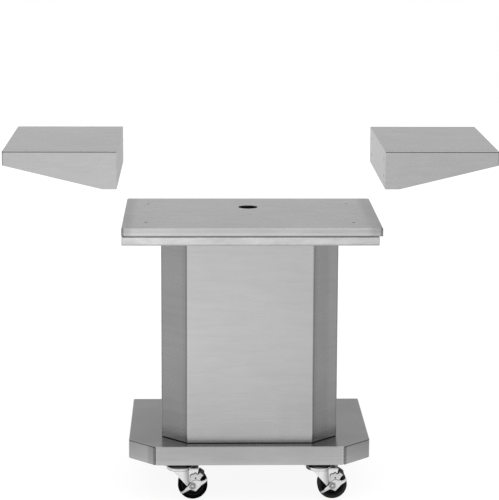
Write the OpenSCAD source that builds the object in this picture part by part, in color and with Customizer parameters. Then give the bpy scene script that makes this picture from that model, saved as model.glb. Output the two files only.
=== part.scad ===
// Grill pedestal in brushed stainless steel: a low base on four swivel casters, a column with
// clipped front corners, a deck that carries a grill head, and two side shelves.
// Millimetres. +Z is up, the front faces -Y, and the origin is on the floor under the middle.

/* [Wheels] */
// Diameter of the wheels
wheel_d = 75; // [65:1:90]
// Width of the wheels
wheel_w = 32; // [26:1:38]
// Depth of the rubber tyre around the wheel core
tyre_t = 9; // [6:0.5:12]
// Radius of the tyre's shoulders
tyre_round = 4; // [2:0.5:6]
// Radius of the wheel's hub
hub_r = 11; // [9:0.5:14]
// Thickness of the core's web between the hub and the rim
web_t = 12; // [8:1:20]
// Radius of the axle bolt
axle_r = 4; // [3:0.5:5]
// Outer radius of the sleeve that the wheel turns on
sleeve_r = 6.5; // [6:0.25:8]

/* [Caster forks] */
// Distance from the swivel axis to the axle
trail = 33; // [26:1:38]
// Sheet thickness of the forks
fork_t = 2.5; // [2:0.25:3.5]
// Clear height between the wheel and the fork's crown
fork_gap = 6.5; // [5:0.5:10]
// Space between the tyre's side and the fork's leg
fork_side_gap = 1.8; // [1.2:0.1:3]
// Radius of the fork's round crown
crown_r = 33; // [31:0.5:36]
// Depth of the crown's turned-down rim
crown_rim = 10.5; // [6:0.5:12]
// Distance from the swivel axis to the crown's tail
crown_tail = 48; // [44:1:54]
// Radius of the fork leg around the axle
leg_end_r = 12; // [10:0.5:13]
// Width of the gap between the upper and lower ball races
race_gap = 2.4; // [1.6:0.2:3.2]
// Height of the lower ball race
race_h = 2; // [1.5:0.25:3]
// Radius of the swivel balls
ball_r = 2.75; // [2:0.25:3]
// Radius of the ring that the balls run on
ball_ring_r = 20.5; // [19:0.5:21]
// Number of balls in each caster
ball_n = 16; // [12:1:18]
// Radius of the kingpin
kingpin_r = 5; // [4:0.5:6]
// Depth of the upper ball race below the plate
bowl_h = 8.6; // [7:0.2:12]
// Radius of the upper ball race
bowl_r = 27; // [25:0.5:29]

/* [Caster plates] */
// Length of the caster plates, from left to right
plate_l = 92; // [88:1:104]
// Width of the caster plates, from front to back
plate_w = 67; // [64:1:72]
// Thickness of the caster plates
plate_t = 3; // [2.5:0.25:4]
// Corner radius of the caster plates
plate_round = 7; // [3:0.5:9]
// Distance between the plate's bolt holes, from left to right
plate_hole_x = 71; // [69:1:76]
// Distance between the plate's bolt holes, from front to back
plate_hole_y = 45; // [43:1:48]
// Radius of the caster bolts
plate_bolt_r = 4; // [3:0.5:4]

/* [Caster brakes] */
// Sheet thickness of the brake levers and brake plates
brake_t = 2; // [1.5:0.25:2.5]
// Rest distance between the brake shoe and the tyre
shoe_gap = 1; // [0.8:0.1:1.5]
// Reach of the brake shoe across the tyre
shoe_reach = 22; // [16:1:28]
// Reach of the lever's foot pads
pad_reach = 9; // [6:1:12]

/* [Base] */
// Width of the base
base_w = 612; // [590:1:680]
// Depth of the base from front to back
base_depth = 465; // [450:1:520]
// Height of the base's apron
base_h = 48; // [42:1:70]
// Size of the clipped front corners of the base
base_chamfer = 69; // [50:1:72]
// Sheet thickness of the base
base_sheet = 1.5; // [1:0.25:2.5]
// Distance from the middle to each swivel axis, left and right
caster_x = 177; // [165:1:180]
// Distance from the base's front and back edges to the swivel axes
caster_inset = 52; // [51:1:70]
// Width of the caster rails
rail_w = 76; // [74:1:78]
// Length of the caster rails
rail_l = 472; // [455:1:474]
// Width of each flange of the caster rails
rail_flange = 9; // [6:0.5:10]
// Sheet thickness of the caster rails
rail_sheet = 2; // [1.5:0.25:3]

/* [Column] */
// Width of the column
col_w = 446; // [430:1:480]
// Depth of the column from front to back
col_depth = 383; // [360:1:386]
// Height of the column
col_h = 512; // [490:1:620]
// Distance from the base's front edge to the column's front
col_setback = 32; // [28:1:40]
// Size of the clipped front corners of the column
col_chamfer = 65; // [50:1:76]
// Sheet thickness of the column
col_sheet = 1.2; // [1:0.1:2]
// Overlap of the column's front and side panels
col_lap = 16; // [14:1:24]
// Width of the column's top and bottom flanges
col_flange = 25; // [22:1:30]
// Width of the column's rear returns
col_return = 30; // [26:1:34]

/* [Cylinder ring] */
// Inner radius of the ring that locates the gas cylinder
ring_r = 105; // [102:1:120]
// Height of the ring
ring_h = 25; // [15:1:40]
// Width of the ring's foot
ring_foot = 15; // [10:1:20]
// Sheet thickness of the ring
ring_sheet = 1.5; // [1:0.25:2.5]

/* [Rear door] */
// How far the closed door covers the column past its opening, left and right
door_lap = 14; // [10:1:16]
// Depth of the folded door panel
door_t = 18; // [14:1:18]
// Sheet thickness of the door
door_sheet = 1; // [0.8:0.1:1.5]
// Space above and below the door
door_margin = 12; // [8:1:20]
// Space between the closed door and the column
door_gap = 0.4; // [0.3:0.1:1]
// Width of the frame's face around the door opening
frame_face = 30; // [24:1:40]
// Number of vent slots in each row
vent_n = 7; // [4:1:7]
// Length of each vent slot
vent_l = 32; // [24:1:36]
// Height of each vent slot
vent_h = 5; // [4:0.5:8]
// Distance from the door's top or bottom edge to its vent row
vent_inset = 45; // [35:1:55]
// Distance from the door's free edge to the pull
pull_inset = 35; // [25:1:60]
// Length of the pull
pull_l = 140; // [120:1:180]
// Radius of the pull's bar
pull_r = 5; // [4:0.5:5]
// Distance from the door to the middle of the pull's bar
pull_reach = 24; // [20:1:24]
// Radius of the hinge knuckles
knuckle_r = 4; // [3.5:0.25:4]
// Length of each hinge knuckle
knuckle_l = 16; // [12:1:24]
// Radius of the hinge pins
hinge_pin_r = 1.8; // [1.5:0.1:2]
// Thickness of the hinge leaves
leaf_t = 2; // [1.5:0.25:2.25]
// Width of the hinge leaves
leaf_w = 14; // [10:0.5:14]
// Distance from the door's top or bottom edge to the middle of the nearer hinge
hinge_inset = 80; // [70:1:120]

/* [Deck] */
// How far the deck pan is wider than its frame, at each end where it is centred
deck_over_x = 5; // [4:0.5:20]
// How far the deck pan stands out past its frame, front and back
deck_over_y = 2; // [1.5:0.5:6]
// Height of the deck pan's skirt
deck_h = 21; // [15:1:30]
// Corner radius of the deck pan
deck_round = 8; // [4:1:12]
// Sideways offset of the deck pan on its frame
deck_shift = 4; // [0:0.5:4]
// Width of the deck frame
frame_w = 637; // [610:1:640]
// Depth of the deck frame
frame_depth = 451; // [446:1:452]
// Height of the deck frame
frame_h = 22; // [20:1:40]
// Width of the deck frame's inner lip
frame_lip = 15; // [8:1:16]
// Sheet thickness of the deck
deck_sheet = 1.5; // [1:0.25:2.5]
// Width of the two deck bearers
bearer_w = 40; // [30:1:42]
// Distance between the grill's bolt holes, from left to right
deck_hole_x = 520; // [480:5:560]
// Distance between the grill's bolt holes, from front to back
deck_hole_y = 280; // [240:5:290]
// Radius of the grill's bolt holes
deck_hole_r = 3.5; // [2.5:0.5:5]
// Radius of the hose hole
hose_r = 25; // [20:1:35]
// Distance from the middle of the deck back to the hose hole
hose_back = 90; // [60:5:100]

/* [Side shelves] */
// Clear distance between the two shelves
shelf_gap = 658; // [656:1:800]
// Length of each shelf
shelf_l = 279; // [240:1:360]
// Depth of the shelves
shelf_depth = 465; // [430:1:560]
// Height of the shelves' tops above the deck
shelf_rise = 193; // [150:1:260]
// Height of the shelf's apron at its inner end
shelf_in_h = 94; // [80:1:120]
// Height of the shelf's apron at its outer end
shelf_out_h = 35; // [28:1:50]
// Length of the level part of the apron's lower edge
shelf_level = 35; // [20:1:60]
// Sheet thickness of the shelves
shelf_sheet = 1.5; // [1:0.25:2.5]
// Thickness of the shelf's end bracket
bracket_t = 3; // [2:0.5:5]
// Width of the bracket's lower lip
bracket_lip = 18; // [10:1:30]
// Width of the shelf's rib
rib_w = 60; // [40:1:90]
// Height of the shelf's rib
rib_h = 20; // [12:1:25]
// Distance between the shelf's bolt holes, from front to back
shelf_hole_y = 360; // [300:5:380]
// Distance between the shelf's bolt holes, up and down
shelf_hole_z = 40; // [30:1:44]
// Radius of the shelf's bolt holes
shelf_hole_r = 4.25; // [3:0.25:5]

/* [Fits] */
// Clearance between turning parts and the pins they turn on
fit = 0.06; // [0.02:0.01:0.1]
// Space between parts that pass each other
clear = 0.3; // [0.3:0.05:0.5]
// Clearance of bolts in their holes
bolt_fit = 0.25; // [0.1:0.05:0.5]

/* [Hidden] */
$fn = 64;

// Small overlap that lets a cut run past a face
cut = 1;

// Heights, from the floor up
axle_z = wheel_d / 2;
crown_z = wheel_d + fork_gap + fork_t;
race_z = crown_z + race_h;
bowl_z = race_z + race_gap;
plate_z = bowl_z + bowl_h;
base_z = plate_z + plate_t;
base_top = base_z + base_h;
col_top = base_top + col_h;
frame_top = col_top + frame_h;
deck_top = frame_top + deck_h;
shelf_top = deck_top + shelf_rise;

// Deck pan: the frame's size and what stands out past it
deck_w = frame_w + 2 * deck_over_x;
deck_depth = frame_depth + 2 * deck_over_y;

// Column places
col_front = col_setback - base_depth / 2;
col_rear = col_front + col_depth;
col_mid = (col_front + col_rear) / 2;
col_bend = col_front + col_chamfer;
col_inner = col_w / 2 - col_sheet;

// How far a flange or strip is drawn into the wall that it is folded from
joined = col_sheet / 2;

// Caster places: left or right, front or back
CORNERS = [[-1, -1], [1, -1], [-1, 1], [1, 1]];
caster_y = base_depth / 2 - caster_inset;

// Caster widths, from the middle of the wheel out along the axle
leg_in = wheel_w / 2 + fork_side_gap;
leg_out = leg_in + fork_t;
plate_out = leg_out + clear + brake_t;
lever_out = plate_out + clear + brake_t;
head_h = 5.5;
nut_h = 7;
hex_r = 7.5;

// Door opening and the door over it
opening_lip = 7;
opening_half = col_w / 2 - col_return - opening_lip;
door_w = 2 * (opening_half + door_lap);

// Rear door places
door_in = col_rear + door_gap;
door_out = door_in + door_t;
door_low = base_top + door_margin;
door_high = col_top - door_margin;
door_mid = (door_low + door_high) / 2;
leaf_overlap = 0.5;
hinge_x = -(door_w / 2 + leaf_t + knuckle_r - leaf_overlap);
hinge_y = col_rear + leaf_t + knuckle_r - 2 * leaf_overlap;
pull_x = door_w / 2 - pull_inset;

// Outline with two clipped front corners, drawn in by t on every side
function clipped(w, d, c, t = 0) =
  let (x = w / 2 - t, y = d / 2 - t, k = c - t * (2 - sqrt(2)))
  [[-x, y], [-x, -y + k], [-x + k, -y], [x - k, -y], [x, -y + k], [x, y]];

// Point where a line from p touches the circle of radius r around c; s picks the side
function touch(p, c, r, s) =
  let (d = c - p, a = atan2(d[1], d[0]), b = asin(r / norm(d)), l = sqrt(norm(d) ^ 2 - r ^ 2))
  p + l * [cos(a + s * b), sin(a + s * b)];

// Rectangle with round corners
module rounded_rect(w, d, r) {
  square([w - 2 * r, d], center = true);
  square([w, d - 2 * r], center = true);
  for (x = [-1, 1], y = [-1, 1])
    translate([x * (w / 2 - r), y * (d / 2 - r)])
      circle(r = r);
}

// Cylinder along Y between two places
module y_rod(r, from, to) {
  translate([0, from, 0])
    rotate([-90, 0, 0])
      cylinder(r = r, h = to - from);
}

// Hexagon bolt or nut body along Y
module y_hex(from, to) {
  translate([0, from, 0])
    rotate([-90, 0, 0])
      cylinder(r = hex_r, h = to - from, $fn = 6);
}

// Plate in the X-Z plane, from a flat outline, between two places along Y
module y_plate(from, to) {
  translate([0, to, 0])
    rotate([90, 0, 0])
      linear_extrude(to - from)
        children();
}

// Bolt that stands on Z: head below, nut above, with the sheets between low and high
module bolt_up(low, high, r, head_r) {
  head = 0.7 * head_r;
  nut = 0.85 * head_r;
  thread_end = 0.25 * head_r;
  translate([0, 0, low - head])
    cylinder(r = head_r, h = head, $fn = 6);
  translate([0, 0, low - cut])
    cylinder(r = r, h = high - low + nut + thread_end + cut);
  translate([0, 0, high])
    cylinder(r = head_r, h = nut, $fn = 6);
}

// Frame of one caster: the swivel axis, on the floor
module at_caster(i) {
  translate([CORNERS[i][0] * caster_x, CORNERS[i][1] * caster_y, 0])
    children();
}

// Frame of one caster's axle
module at_axle(i) {
  at_caster(i)
    translate([trail, 0, axle_z])
      children();
}

// The four bolt places of a caster plate
module at_plate_holes() {
  for (x = [-1, 1], y = [-1, 1])
    translate([x * plate_hole_x / 2, y * plate_hole_y / 2, 0])
      children();
}

module base_pan() {
  color("silver")
    difference() {
      translate([0, 0, base_z])
        linear_extrude(base_h)
          polygon(clipped(base_w, base_depth, base_chamfer));
      translate([0, 0, base_z - cut])
        linear_extrude(base_h - base_sheet + cut)
          polygon(clipped(base_w, base_depth, base_chamfer, base_sheet));
      at_column_bolts(base_top)
        cylinder(r = column_bolt_r + bolt_fit, h = 4 * base_sheet, center = true);
      // Vents in the floor of the cylinder bay
      for (x = [-1, 1], y = [-1, 0, 1])
        translate([x * (ring_r + ring_foot + floor_vent_w), col_mid + y * floor_vent_step, base_top])
          cube([floor_vent_w, floor_vent_l, 4 * base_sheet], center = true);
    }
}

// Vents in the base's top: width, length and spacing
floor_vent_w = 14;
floor_vent_l = 50;
floor_vent_step = 80;

// Rail that carries the two casters of one side: a hat section that hangs under the base's top
module caster_rail(side) {
  top = base_top - base_sheet;
  color("silver")
    difference() {
      translate([0, side * caster_y, 0])
        difference() {
          union() {
            translate([-rail_l / 2, -rail_w / 2, base_z])
              cube([rail_l, rail_w, top - base_z]);
            translate([-rail_l / 2, -rail_w / 2 - rail_flange, top - rail_sheet])
              cube([rail_l, rail_w + 2 * rail_flange, rail_sheet]);
          }
          translate([-rail_l / 2 - cut, -rail_w / 2 + rail_sheet, base_z + rail_sheet])
            cube([rail_l + 2 * cut, rail_w - 2 * rail_sheet, base_h]);
        }
      for (i = [0 : 3])
        if (CORNERS[i][1] == side)
          at_caster(i)
            at_plate_holes()
              translate([0, 0, base_z - cut])
                cylinder(r = plate_bolt_r + bolt_fit, h = rail_sheet + 2 * cut);
    }
}

module cylinder_ring() {
  color("gainsboro")
    translate([0, col_mid, base_top])
      difference() {
        union() {
          cylinder(r = ring_r + ring_sheet, h = ring_h, $fn = 96);
          cylinder(r = ring_r + ring_foot, h = ring_sheet, $fn = 96);
        }
        translate([0, 0, -cut])
          cylinder(r = ring_r, h = ring_h + 2 * cut, $fn = 96);
      }
}

// Bolts between the column's flanges and the sheet below or above
column_bolt_r = 3;
column_bolt_head = 5.5;
column_bolt_x = 90;
column_bolt_y = 75;

// Bolt places on the flange of the column's front, at one height
module at_front_bolts(z) {
  for (x = [-1, 1])
    translate([x * column_bolt_x, col_front + col_sheet + col_flange / 2, z])
      children();
}

// Bolt places on the flanges of the column's sides, at one height
module at_side_bolts(z) {
  for (x = [-1, 1], y = [0, 1])
    translate([x * (col_inner - col_flange / 2), col_mid + y * column_bolt_y, z])
      children();
}

module at_column_bolts(z) {
  at_front_bolts(z)
    children();
  at_side_bolts(z)
    children();
}

// Flat strip of the column's wall, seen from above
module column_wall() {
  translate([0, col_mid])
    difference() {
      polygon(clipped(col_w, col_depth, col_chamfer));
      polygon(clipped(col_w, col_depth, col_chamfer, col_sheet));
    }
}

// Bored flange at the column's foot and head
module column_flange(x, y, w, d) {
  for (z = [base_top, col_top - col_sheet])
    difference() {
      translate([x, y, z])
        cube([w, d, col_sheet]);
      at_column_bolts(z)
        cylinder(r = column_bolt_r + bolt_fit, h = 4 * col_sheet, center = true);
    }
}

module column_front() {
  half = col_w / 2 - col_chamfer;
  color("lightgray") {
    translate([0, 0, base_top])
      linear_extrude(col_h)
        intersection() {
          column_wall();
          translate([-col_w / 2, col_front])
            square([col_w, col_chamfer + col_lap]);
        }
    column_flange(-half, col_front + col_sheet - joined, 2 * half, col_flange + joined);
  }
}

// Side panel with its rear return, drawn for the right side
module column_side() {
  flange_from = col_bend + col_lap + col_flange;
  flange_to = col_rear - col_return;
  color("silver") {
    translate([0, 0, base_top])
      linear_extrude(col_h) {
        intersection() {
          column_wall();
          translate([col_w / 2 - col_return, col_bend + col_lap])
            square([col_return, col_depth]);
        }
        // Strip behind the front panel's lap, and its joggle into the wall
        translate([col_inner - col_sheet, col_bend + col_sheet])
          square([col_sheet, 2 * col_lap]);
        translate([col_inner - col_sheet, col_bend + col_lap])
          square([col_sheet + joined, col_lap]);
      }
    column_flange(col_inner - col_flange, flange_from, col_flange + joined, flange_to - flange_from);
  }
}

module column_left_side() {
  mirror([1, 0, 0])
    column_side();
}

module column_right_side() {
  column_side();
}

// Face frame behind the rear returns, around the door opening
module column_rear_frame() {
  side_gap = 4;
  half = col_inner - 2 * col_sheet - side_gap;
  color("gainsboro")
    difference() {
      translate([-half, col_rear - 2 * col_sheet, base_top])
        cube([2 * half, col_sheet, col_h]);
      translate([-opening_half, col_rear - col_depth / 2, base_top + frame_face])
        cube([2 * opening_half, col_depth, col_h - 2 * frame_face]);
    }
}

// Bolts at the column's foot and head; the front ones also hold the front deck bearer
module column_bolts() {
  color("dimgray") {
    at_column_bolts(0)
      bolt_up(base_top - base_sheet, base_top + col_sheet, column_bolt_r, column_bolt_head);
    at_side_bolts(0)
      bolt_up(col_top - col_sheet, col_top + deck_sheet, column_bolt_r, column_bolt_head);
    at_front_bolts(0)
      bolt_up(col_top - col_sheet, col_top + 2 * deck_sheet, column_bolt_r, column_bolt_head);
  }
}

// Blind rivets through the lap of the front and side panels
rivet_n = 6;
rivet_r = 2.2;
rivet_head = 3.6;
rivet_head_t = 0.9;

module column_rivets() {
  step = col_h / rivet_n;
  color("silver")
    for (x = [-1, 1], k = [0 : rivet_n - 1])
      translate([x * col_w / 2, col_bend + col_lap / 2, base_top + (k + 0.5) * step])
        rotate([0, x * 90, 0])
          cylinder(r1 = rivet_head, r2 = rivet_r, h = rivet_head_t);
}

module rear_door() {
  h = door_high - door_low;
  pitch = (door_w - 2 * vent_l) / vent_n;
  color("silver")
    difference() {
      translate([-door_w / 2, door_in, door_low])
        cube([door_w, door_t, h]);
      translate([-door_w / 2 + door_sheet, door_in - cut, door_low + door_sheet])
        cube([door_w - 2 * door_sheet, door_t - door_sheet + cut, h - 2 * door_sheet]);
      for (k = [0 : vent_n - 1], z = [door_low + vent_inset, door_high - vent_inset])
        translate([(k - (vent_n - 1) / 2) * pitch, door_out, z])
          cube([vent_l, 4 * door_sheet, vent_h], center = true);
    }
}

// Bar pull on two posts with round feet
module door_pull() {
  post_z = pull_l / 2 - 15;
  post_r = pull_r - 1;
  foot_r = pull_r + 3;
  color("silver")
    translate([pull_x, 0, door_mid]) {
      translate([0, door_out + pull_reach, -pull_l / 2])
        cylinder(r = pull_r, h = pull_l);
      for (s = [-1, 1])
        translate([0, 0, s * post_z]) {
          y_rod(post_r, door_out, door_out + pull_reach);
          y_rod(foot_r, door_out, door_out + leaf_t);
        }
    }
}

// Places of the two hinges, at the middle of each
module at_hinges() {
  for (z = [door_low + hinge_inset, door_high - hinge_inset])
    translate([hinge_x, hinge_y, z])
      children();
}

// One or two knuckles with their bore; the middle one belongs to the door
module knuckles(middle, extra = 0) {
  for (s = middle ? [0] : [-1, 1])
    translate([0, 0, s * (knuckle_l + clear) - extra])
      cylinder(r = knuckle_r + extra, h = knuckle_l + 2 * extra);
}

// Height of a whole hinge
hinge_l = 3 * knuckle_l + 2 * clear;

module column_hinge_leaves() {
  color("gray")
    at_hinges()
      difference() {
        union() {
          translate([0, 0, -knuckle_l / 2])
            knuckles(false);
          translate([-leaf_w, col_rear - hinge_y, -hinge_l / 2])
            cube([leaf_w, leaf_t, hinge_l]);
        }
        translate([0, 0, -knuckle_l / 2])
          knuckles(true, clear);
        cylinder(r = hinge_pin_r + fit, h = 2 * hinge_l, center = true);
      }
}

module door_hinge_leaves() {
  leaf_x = knuckle_r - leaf_overlap;
  leaf_y = door_in + cut - hinge_y;
  color("gray")
    at_hinges()
      difference() {
        union() {
          translate([0, 0, -knuckle_l / 2])
            knuckles(true);
          translate([leaf_x, leaf_y, -hinge_l / 2])
            cube([leaf_t, min(leaf_w, door_t - 2 * cut), hinge_l]);
        }
        translate([0, 0, -knuckle_l / 2])
          knuckles(false, clear);
        cylinder(r = hinge_pin_r + fit, h = 2 * hinge_l, center = true);
      }
}

module hinge_pins() {
  head = 1.2;
  color("silver")
    at_hinges() {
      cylinder(r = hinge_pin_r, h = hinge_l, center = true);
      for (s = [-1, 1])
        translate([0, 0, s * (hinge_l + head) / 2])
          cylinder(r = knuckle_r - 1, h = head, center = true);
    }
}

// Magnetic catch inside the column, behind the door's free edge
catch_w = 18;
catch_h = 40;
catch_depth = 14;

module magnet_catch() {
  frame_in = col_rear - 2 * col_sheet;
  color("dimgray")
    translate([0, 0, door_mid - catch_h / 2]) {
      translate([opening_half - catch_w, frame_in - catch_depth, 0])
        cube([catch_w, catch_depth + 2 * col_sheet, catch_h]);
      translate([opening_half - catch_w, frame_in - catch_depth, 0])
        cube([catch_w + 15, catch_depth, catch_h]);
    }
}

// Strike on the door's inside, level with the catch
module door_strike() {
  color("silver")
    translate([opening_half - catch_w, door_in, door_mid - catch_h / 2]) {
      cube([catch_w, leaf_t, catch_h]);
      cube([leaf_t, door_t - door_sheet, catch_h]);
    }
}

// Shallow tray on the column's head, open over the column
module deck_frame() {
  hole_half = col_inner - col_flange;
  hole_from = col_front + col_sheet + col_flange;
  hole_to = col_rear - 2 * col_sheet;
  color("gainsboro")
    difference() {
      translate([-frame_w / 2, -frame_depth / 2, col_top])
        cube([frame_w, frame_depth, frame_h]);
      translate([-frame_w / 2 + deck_sheet, -frame_depth / 2 + deck_sheet, col_top + deck_sheet])
        cube([frame_w - 2 * deck_sheet, frame_depth - 2 * deck_sheet, frame_h - 2 * deck_sheet]);
      translate([-frame_w / 2 + frame_lip, -frame_depth / 2 + frame_lip, col_top + deck_sheet])
        cube([frame_w - 2 * frame_lip, frame_depth - 2 * frame_lip, frame_h]);
      translate([-hole_half, hole_from, col_top - cut])
        cube([2 * hole_half, hole_to - hole_from, frame_h]);
      at_column_bolts(col_top)
        cylinder(r = column_bolt_r + bolt_fit, h = 4 * deck_sheet, center = true);
      at_deck_bolts(col_top)
        cylinder(r = column_bolt_r + bolt_fit, h = 4 * deck_sheet, center = true);
    }
}

// Middle of each deck bearer, front or back of the middle, and the bolts that hold it down
bearer_y = frame_depth / 2 - frame_lip - clear - bearer_w / 2;
bearer_bolt_x = 260;

module at_deck_bolts(z) {
  for (x = [-1, 1], y = [-1, 1])
    translate([x * bearer_bolt_x, y * bearer_y, z])
      children();
}

// Two channels that carry the deck pan over the column's front and rear walls
module deck_bearers() {
  low = col_top + deck_sheet;
  high = deck_top - deck_sheet;
  span = frame_w - 2 * frame_lip - 2 * clear;
  color("silver")
    for (s = [-1, 1])
      difference() {
        translate([-span / 2, s * bearer_y - bearer_w / 2, low])
          cube([span, bearer_w, high - low]);
        translate([-span / 2 - cut, s * (bearer_y - deck_sheet) - bearer_w / 2, low + deck_sheet])
          cube([span + 2 * cut, bearer_w, high - low - 2 * deck_sheet]);
        at_deck_bolts(low)
          cylinder(r = column_bolt_r + bolt_fit, h = 4 * deck_sheet, center = true);
        at_front_bolts(low)
          cylinder(r = column_bolt_r + bolt_fit, h = 4 * deck_sheet, center = true);
      }
}

module deck_pan() {
  color("silver")
    difference() {
      translate([deck_shift, 0, frame_top])
        linear_extrude(deck_h)
          rounded_rect(deck_w, deck_depth, deck_round);
      translate([deck_shift, 0, frame_top - cut])
        linear_extrude(deck_h - deck_sheet + cut)
          rounded_rect(deck_w - 2 * deck_sheet, deck_depth - 2 * deck_sheet, deck_round - deck_sheet);
      for (x = [-1, 1], y = [-1, 1])
        translate([x * deck_hole_x / 2, y * deck_hole_y / 2, frame_top])
          cylinder(r = deck_hole_r, h = 2 * deck_h);
      translate([0, hose_back, frame_top])
        cylinder(r = hose_r, h = 2 * deck_h);
    }
}

// Bolts that hold the bearers down on the frame's tray
module deck_bolts() {
  color("dimgray")
    at_deck_bolts(0)
      bolt_up(col_top, col_top + 2 * deck_sheet, column_bolt_r, column_bolt_head);
}

// Outline of the shelf's front apron, in X and Z, for the right shelf
function shelf_apron() =
  let (x0 = shelf_gap / 2, x1 = x0 + shelf_l, z = shelf_top)
  [[x0, z], [x0, z - shelf_in_h], [x0 + shelf_level, z - shelf_in_h], [x1, z - shelf_out_h], [x1, z]];

// Folded shelf: top, tapered front and back aprons, and outer apron
module shelf() {
  x0 = shelf_gap / 2;
  inner_y = shelf_depth / 2 - shelf_sheet;
  color("silver")
    difference() {
      y_plate(-shelf_depth / 2, shelf_depth / 2)
        polygon(shelf_apron());
      translate([x0 - cut, -inner_y, shelf_top - shelf_in_h - cut])
        cube([shelf_l - shelf_sheet + cut, 2 * inner_y, shelf_in_h - shelf_sheet + cut]);
    }
}

// End bracket that bolts to the grill's side
module shelf_bracket() {
  inner_y = shelf_depth / 2 - shelf_sheet;
  h = shelf_in_h - shelf_sheet;
  low = shelf_top - shelf_in_h;
  color("gainsboro")
    translate([shelf_gap / 2, 0, low])
      difference() {
        union() {
          translate([0, -inner_y, 0])
            cube([bracket_t, 2 * inner_y, h]);
          translate([0, -inner_y, 0])
            cube([bracket_lip, 2 * inner_y, shelf_sheet]);
        }
        for (y = [-1, 1], z = [-1, 1])
          translate([-cut, y * shelf_hole_y / 2, h / 2 + z * shelf_hole_z / 2])
            rotate([0, 90, 0])
              cylinder(r = shelf_hole_r, h = bracket_t + 2 * cut);
      }
}

// Rib under the shelf's top, from the bracket to the outer apron
module shelf_rib() {
  from = shelf_gap / 2 + bracket_t;
  to = shelf_gap / 2 + shelf_l - shelf_sheet;
  high = shelf_top - shelf_sheet;
  color("gainsboro")
    difference() {
      translate([from, -rib_w / 2, high - rib_h])
        cube([to - from, rib_w, rib_h]);
      translate([from - cut, -rib_w / 2 + shelf_sheet, high - rib_h + shelf_sheet])
        cube([to - from + 2 * cut, rib_w - 2 * shelf_sheet, rib_h]);
    }
}

module left_half() {
  mirror([1, 0, 0])
    children();
}

// Mounting plate of a caster with the upper ball race below it
module caster_plate(i) {
  color("lightsteelblue")
    at_caster(i)
      difference() {
        union() {
          translate([0, 0, plate_z])
            linear_extrude(plate_t)
              rounded_rect(plate_l, plate_w, plate_round);
          translate([0, 0, bowl_z])
            cylinder(r1 = bowl_r - 2, r2 = bowl_r, h = bowl_h);
        }
        translate([0, 0, plate_z - cut])
          at_plate_holes()
            cylinder(r = plate_bolt_r + bolt_fit, h = plate_t + 2 * cut);
        translate([0, 0, bowl_z - cut])
          cylinder(r = kingpin_r + fit, h = base_h);
        ball_groove();
      }
}

// Groove in both races, around the balls
module ball_groove() {
  translate([0, 0, race_z + race_gap / 2])
    rotate_extrude()
      translate([ball_ring_r, 0])
        circle(r = ball_r + fit);
}

// Riveted pin that the fork turns on
module kingpins() {
  head_r = kingpin_r + 4;
  head_top = crown_z - fork_t - clear;
  head_t = 3.5;
  color("silver")
    for (i = [0 : 3])
      at_caster(i) {
        translate([0, 0, head_top - head_t])
          cylinder(r1 = head_r - 1.5, r2 = head_r, h = head_t);
        translate([0, 0, head_top - cut])
          cylinder(r = kingpin_r, h = base_z - head_top + cut);
      }
}

module swivel_balls() {
  color("white")
    for (i = [0 : 3])
      at_caster(i)
        for (k = [0 : ball_n - 1])
          rotate([0, 0, (k + 0.5) * 360 / ball_n])
            translate([ball_ring_r, 0, race_z + race_gap / 2])
              sphere(r = ball_r, $fn = 32);
}

module caster_bolts() {
  color("gray")
    for (i = [0 : 3])
      at_caster(i)
        at_plate_holes()
          bolt_up(plate_z, base_z + rail_sheet, plate_bolt_r, plate_bolt_r * 1.75);
}

// Outline of a fork leg in X and Z, from the swivel axis on the floor
module leg_outline() {
  hub = [trail, axle_z];
  rim_z = crown_z - crown_rim;
  left = [-0.45 * crown_r, rim_z];
  right = [crown_tail - 2, crown_z - 0.275 * wheel_d];
  polygon([
    [left[0], crown_z - fork_t / 2], left, touch(left, hub, leg_end_r, -1),
    hub, touch(right, hub, leg_end_r, 1), right, [right[0], crown_z - fork_t / 2]
  ]);
  translate(hub)
    circle(r = leg_end_r);
}

// Hollow under the fork's crown, between two places along Y
module crown_hollow(from, to) {
  translate([0, 0, crown_z - crown_rim - cut])
    intersection() {
      cylinder(r = crown_r - fork_t, h = crown_rim - fork_t + cut);
      translate([-crown_r, from, 0])
        cube([2 * crown_r, to - from, crown_rim]);
    }
}

// Stamped fork: round crown with a turned-down rim, a tail over the wheel, and two legs
module fork(i) {
  color("whitesmoke")
    at_caster(i)
      difference() {
        union() {
          translate([0, 0, crown_z - crown_rim])
            cylinder(r = crown_r, h = crown_rim);
          translate([0, -leg_out, crown_z - fork_t])
            cube([crown_tail, 2 * leg_out, fork_t]);
          translate([0, 0, crown_z - cut])
            cylinder(r = ball_ring_r + ball_r + 1.5, h = race_h + cut);
          y_plate(-leg_out, -leg_in)
            leg_outline();
          y_plate(leg_in, leg_out)
            leg_outline();
        }
        crown_hollow(-leg_in, leg_in);
        crown_hollow(leg_out, leg_out + crown_r);
        crown_hollow(-leg_out - crown_r, -leg_out);
        translate([trail, 0, axle_z]) {
          y_rod(axle_z + fork_gap / 2, -leg_in, leg_in);
          y_rod(axle_r + fit, -leg_out - cut, leg_out + cut);
        }
        cylinder(r = kingpin_r + fit, h = base_z);
        ball_groove();
      }
}

// Axle bolt and nut; the front ones are longer, for the brake
module axle(i) {
  braked = CORNERS[i][1] < 0;
  front = braked ? lever_out + clear : leg_out;
  color("silver")
    at_axle(i) {
      y_rod(axle_r, -front - cut, leg_out + nut_h + 2);
      y_hex(-front - head_h, -front);
      y_hex(leg_out, leg_out + nut_h);
    }
}

module axle_sleeve(i) {
  color("silver")
    at_axle(i)
      difference() {
        y_rod(sleeve_r, -leg_in, leg_in);
        y_rod(axle_r + fit, -leg_in - cut, leg_in + cut);
      }
}

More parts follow.
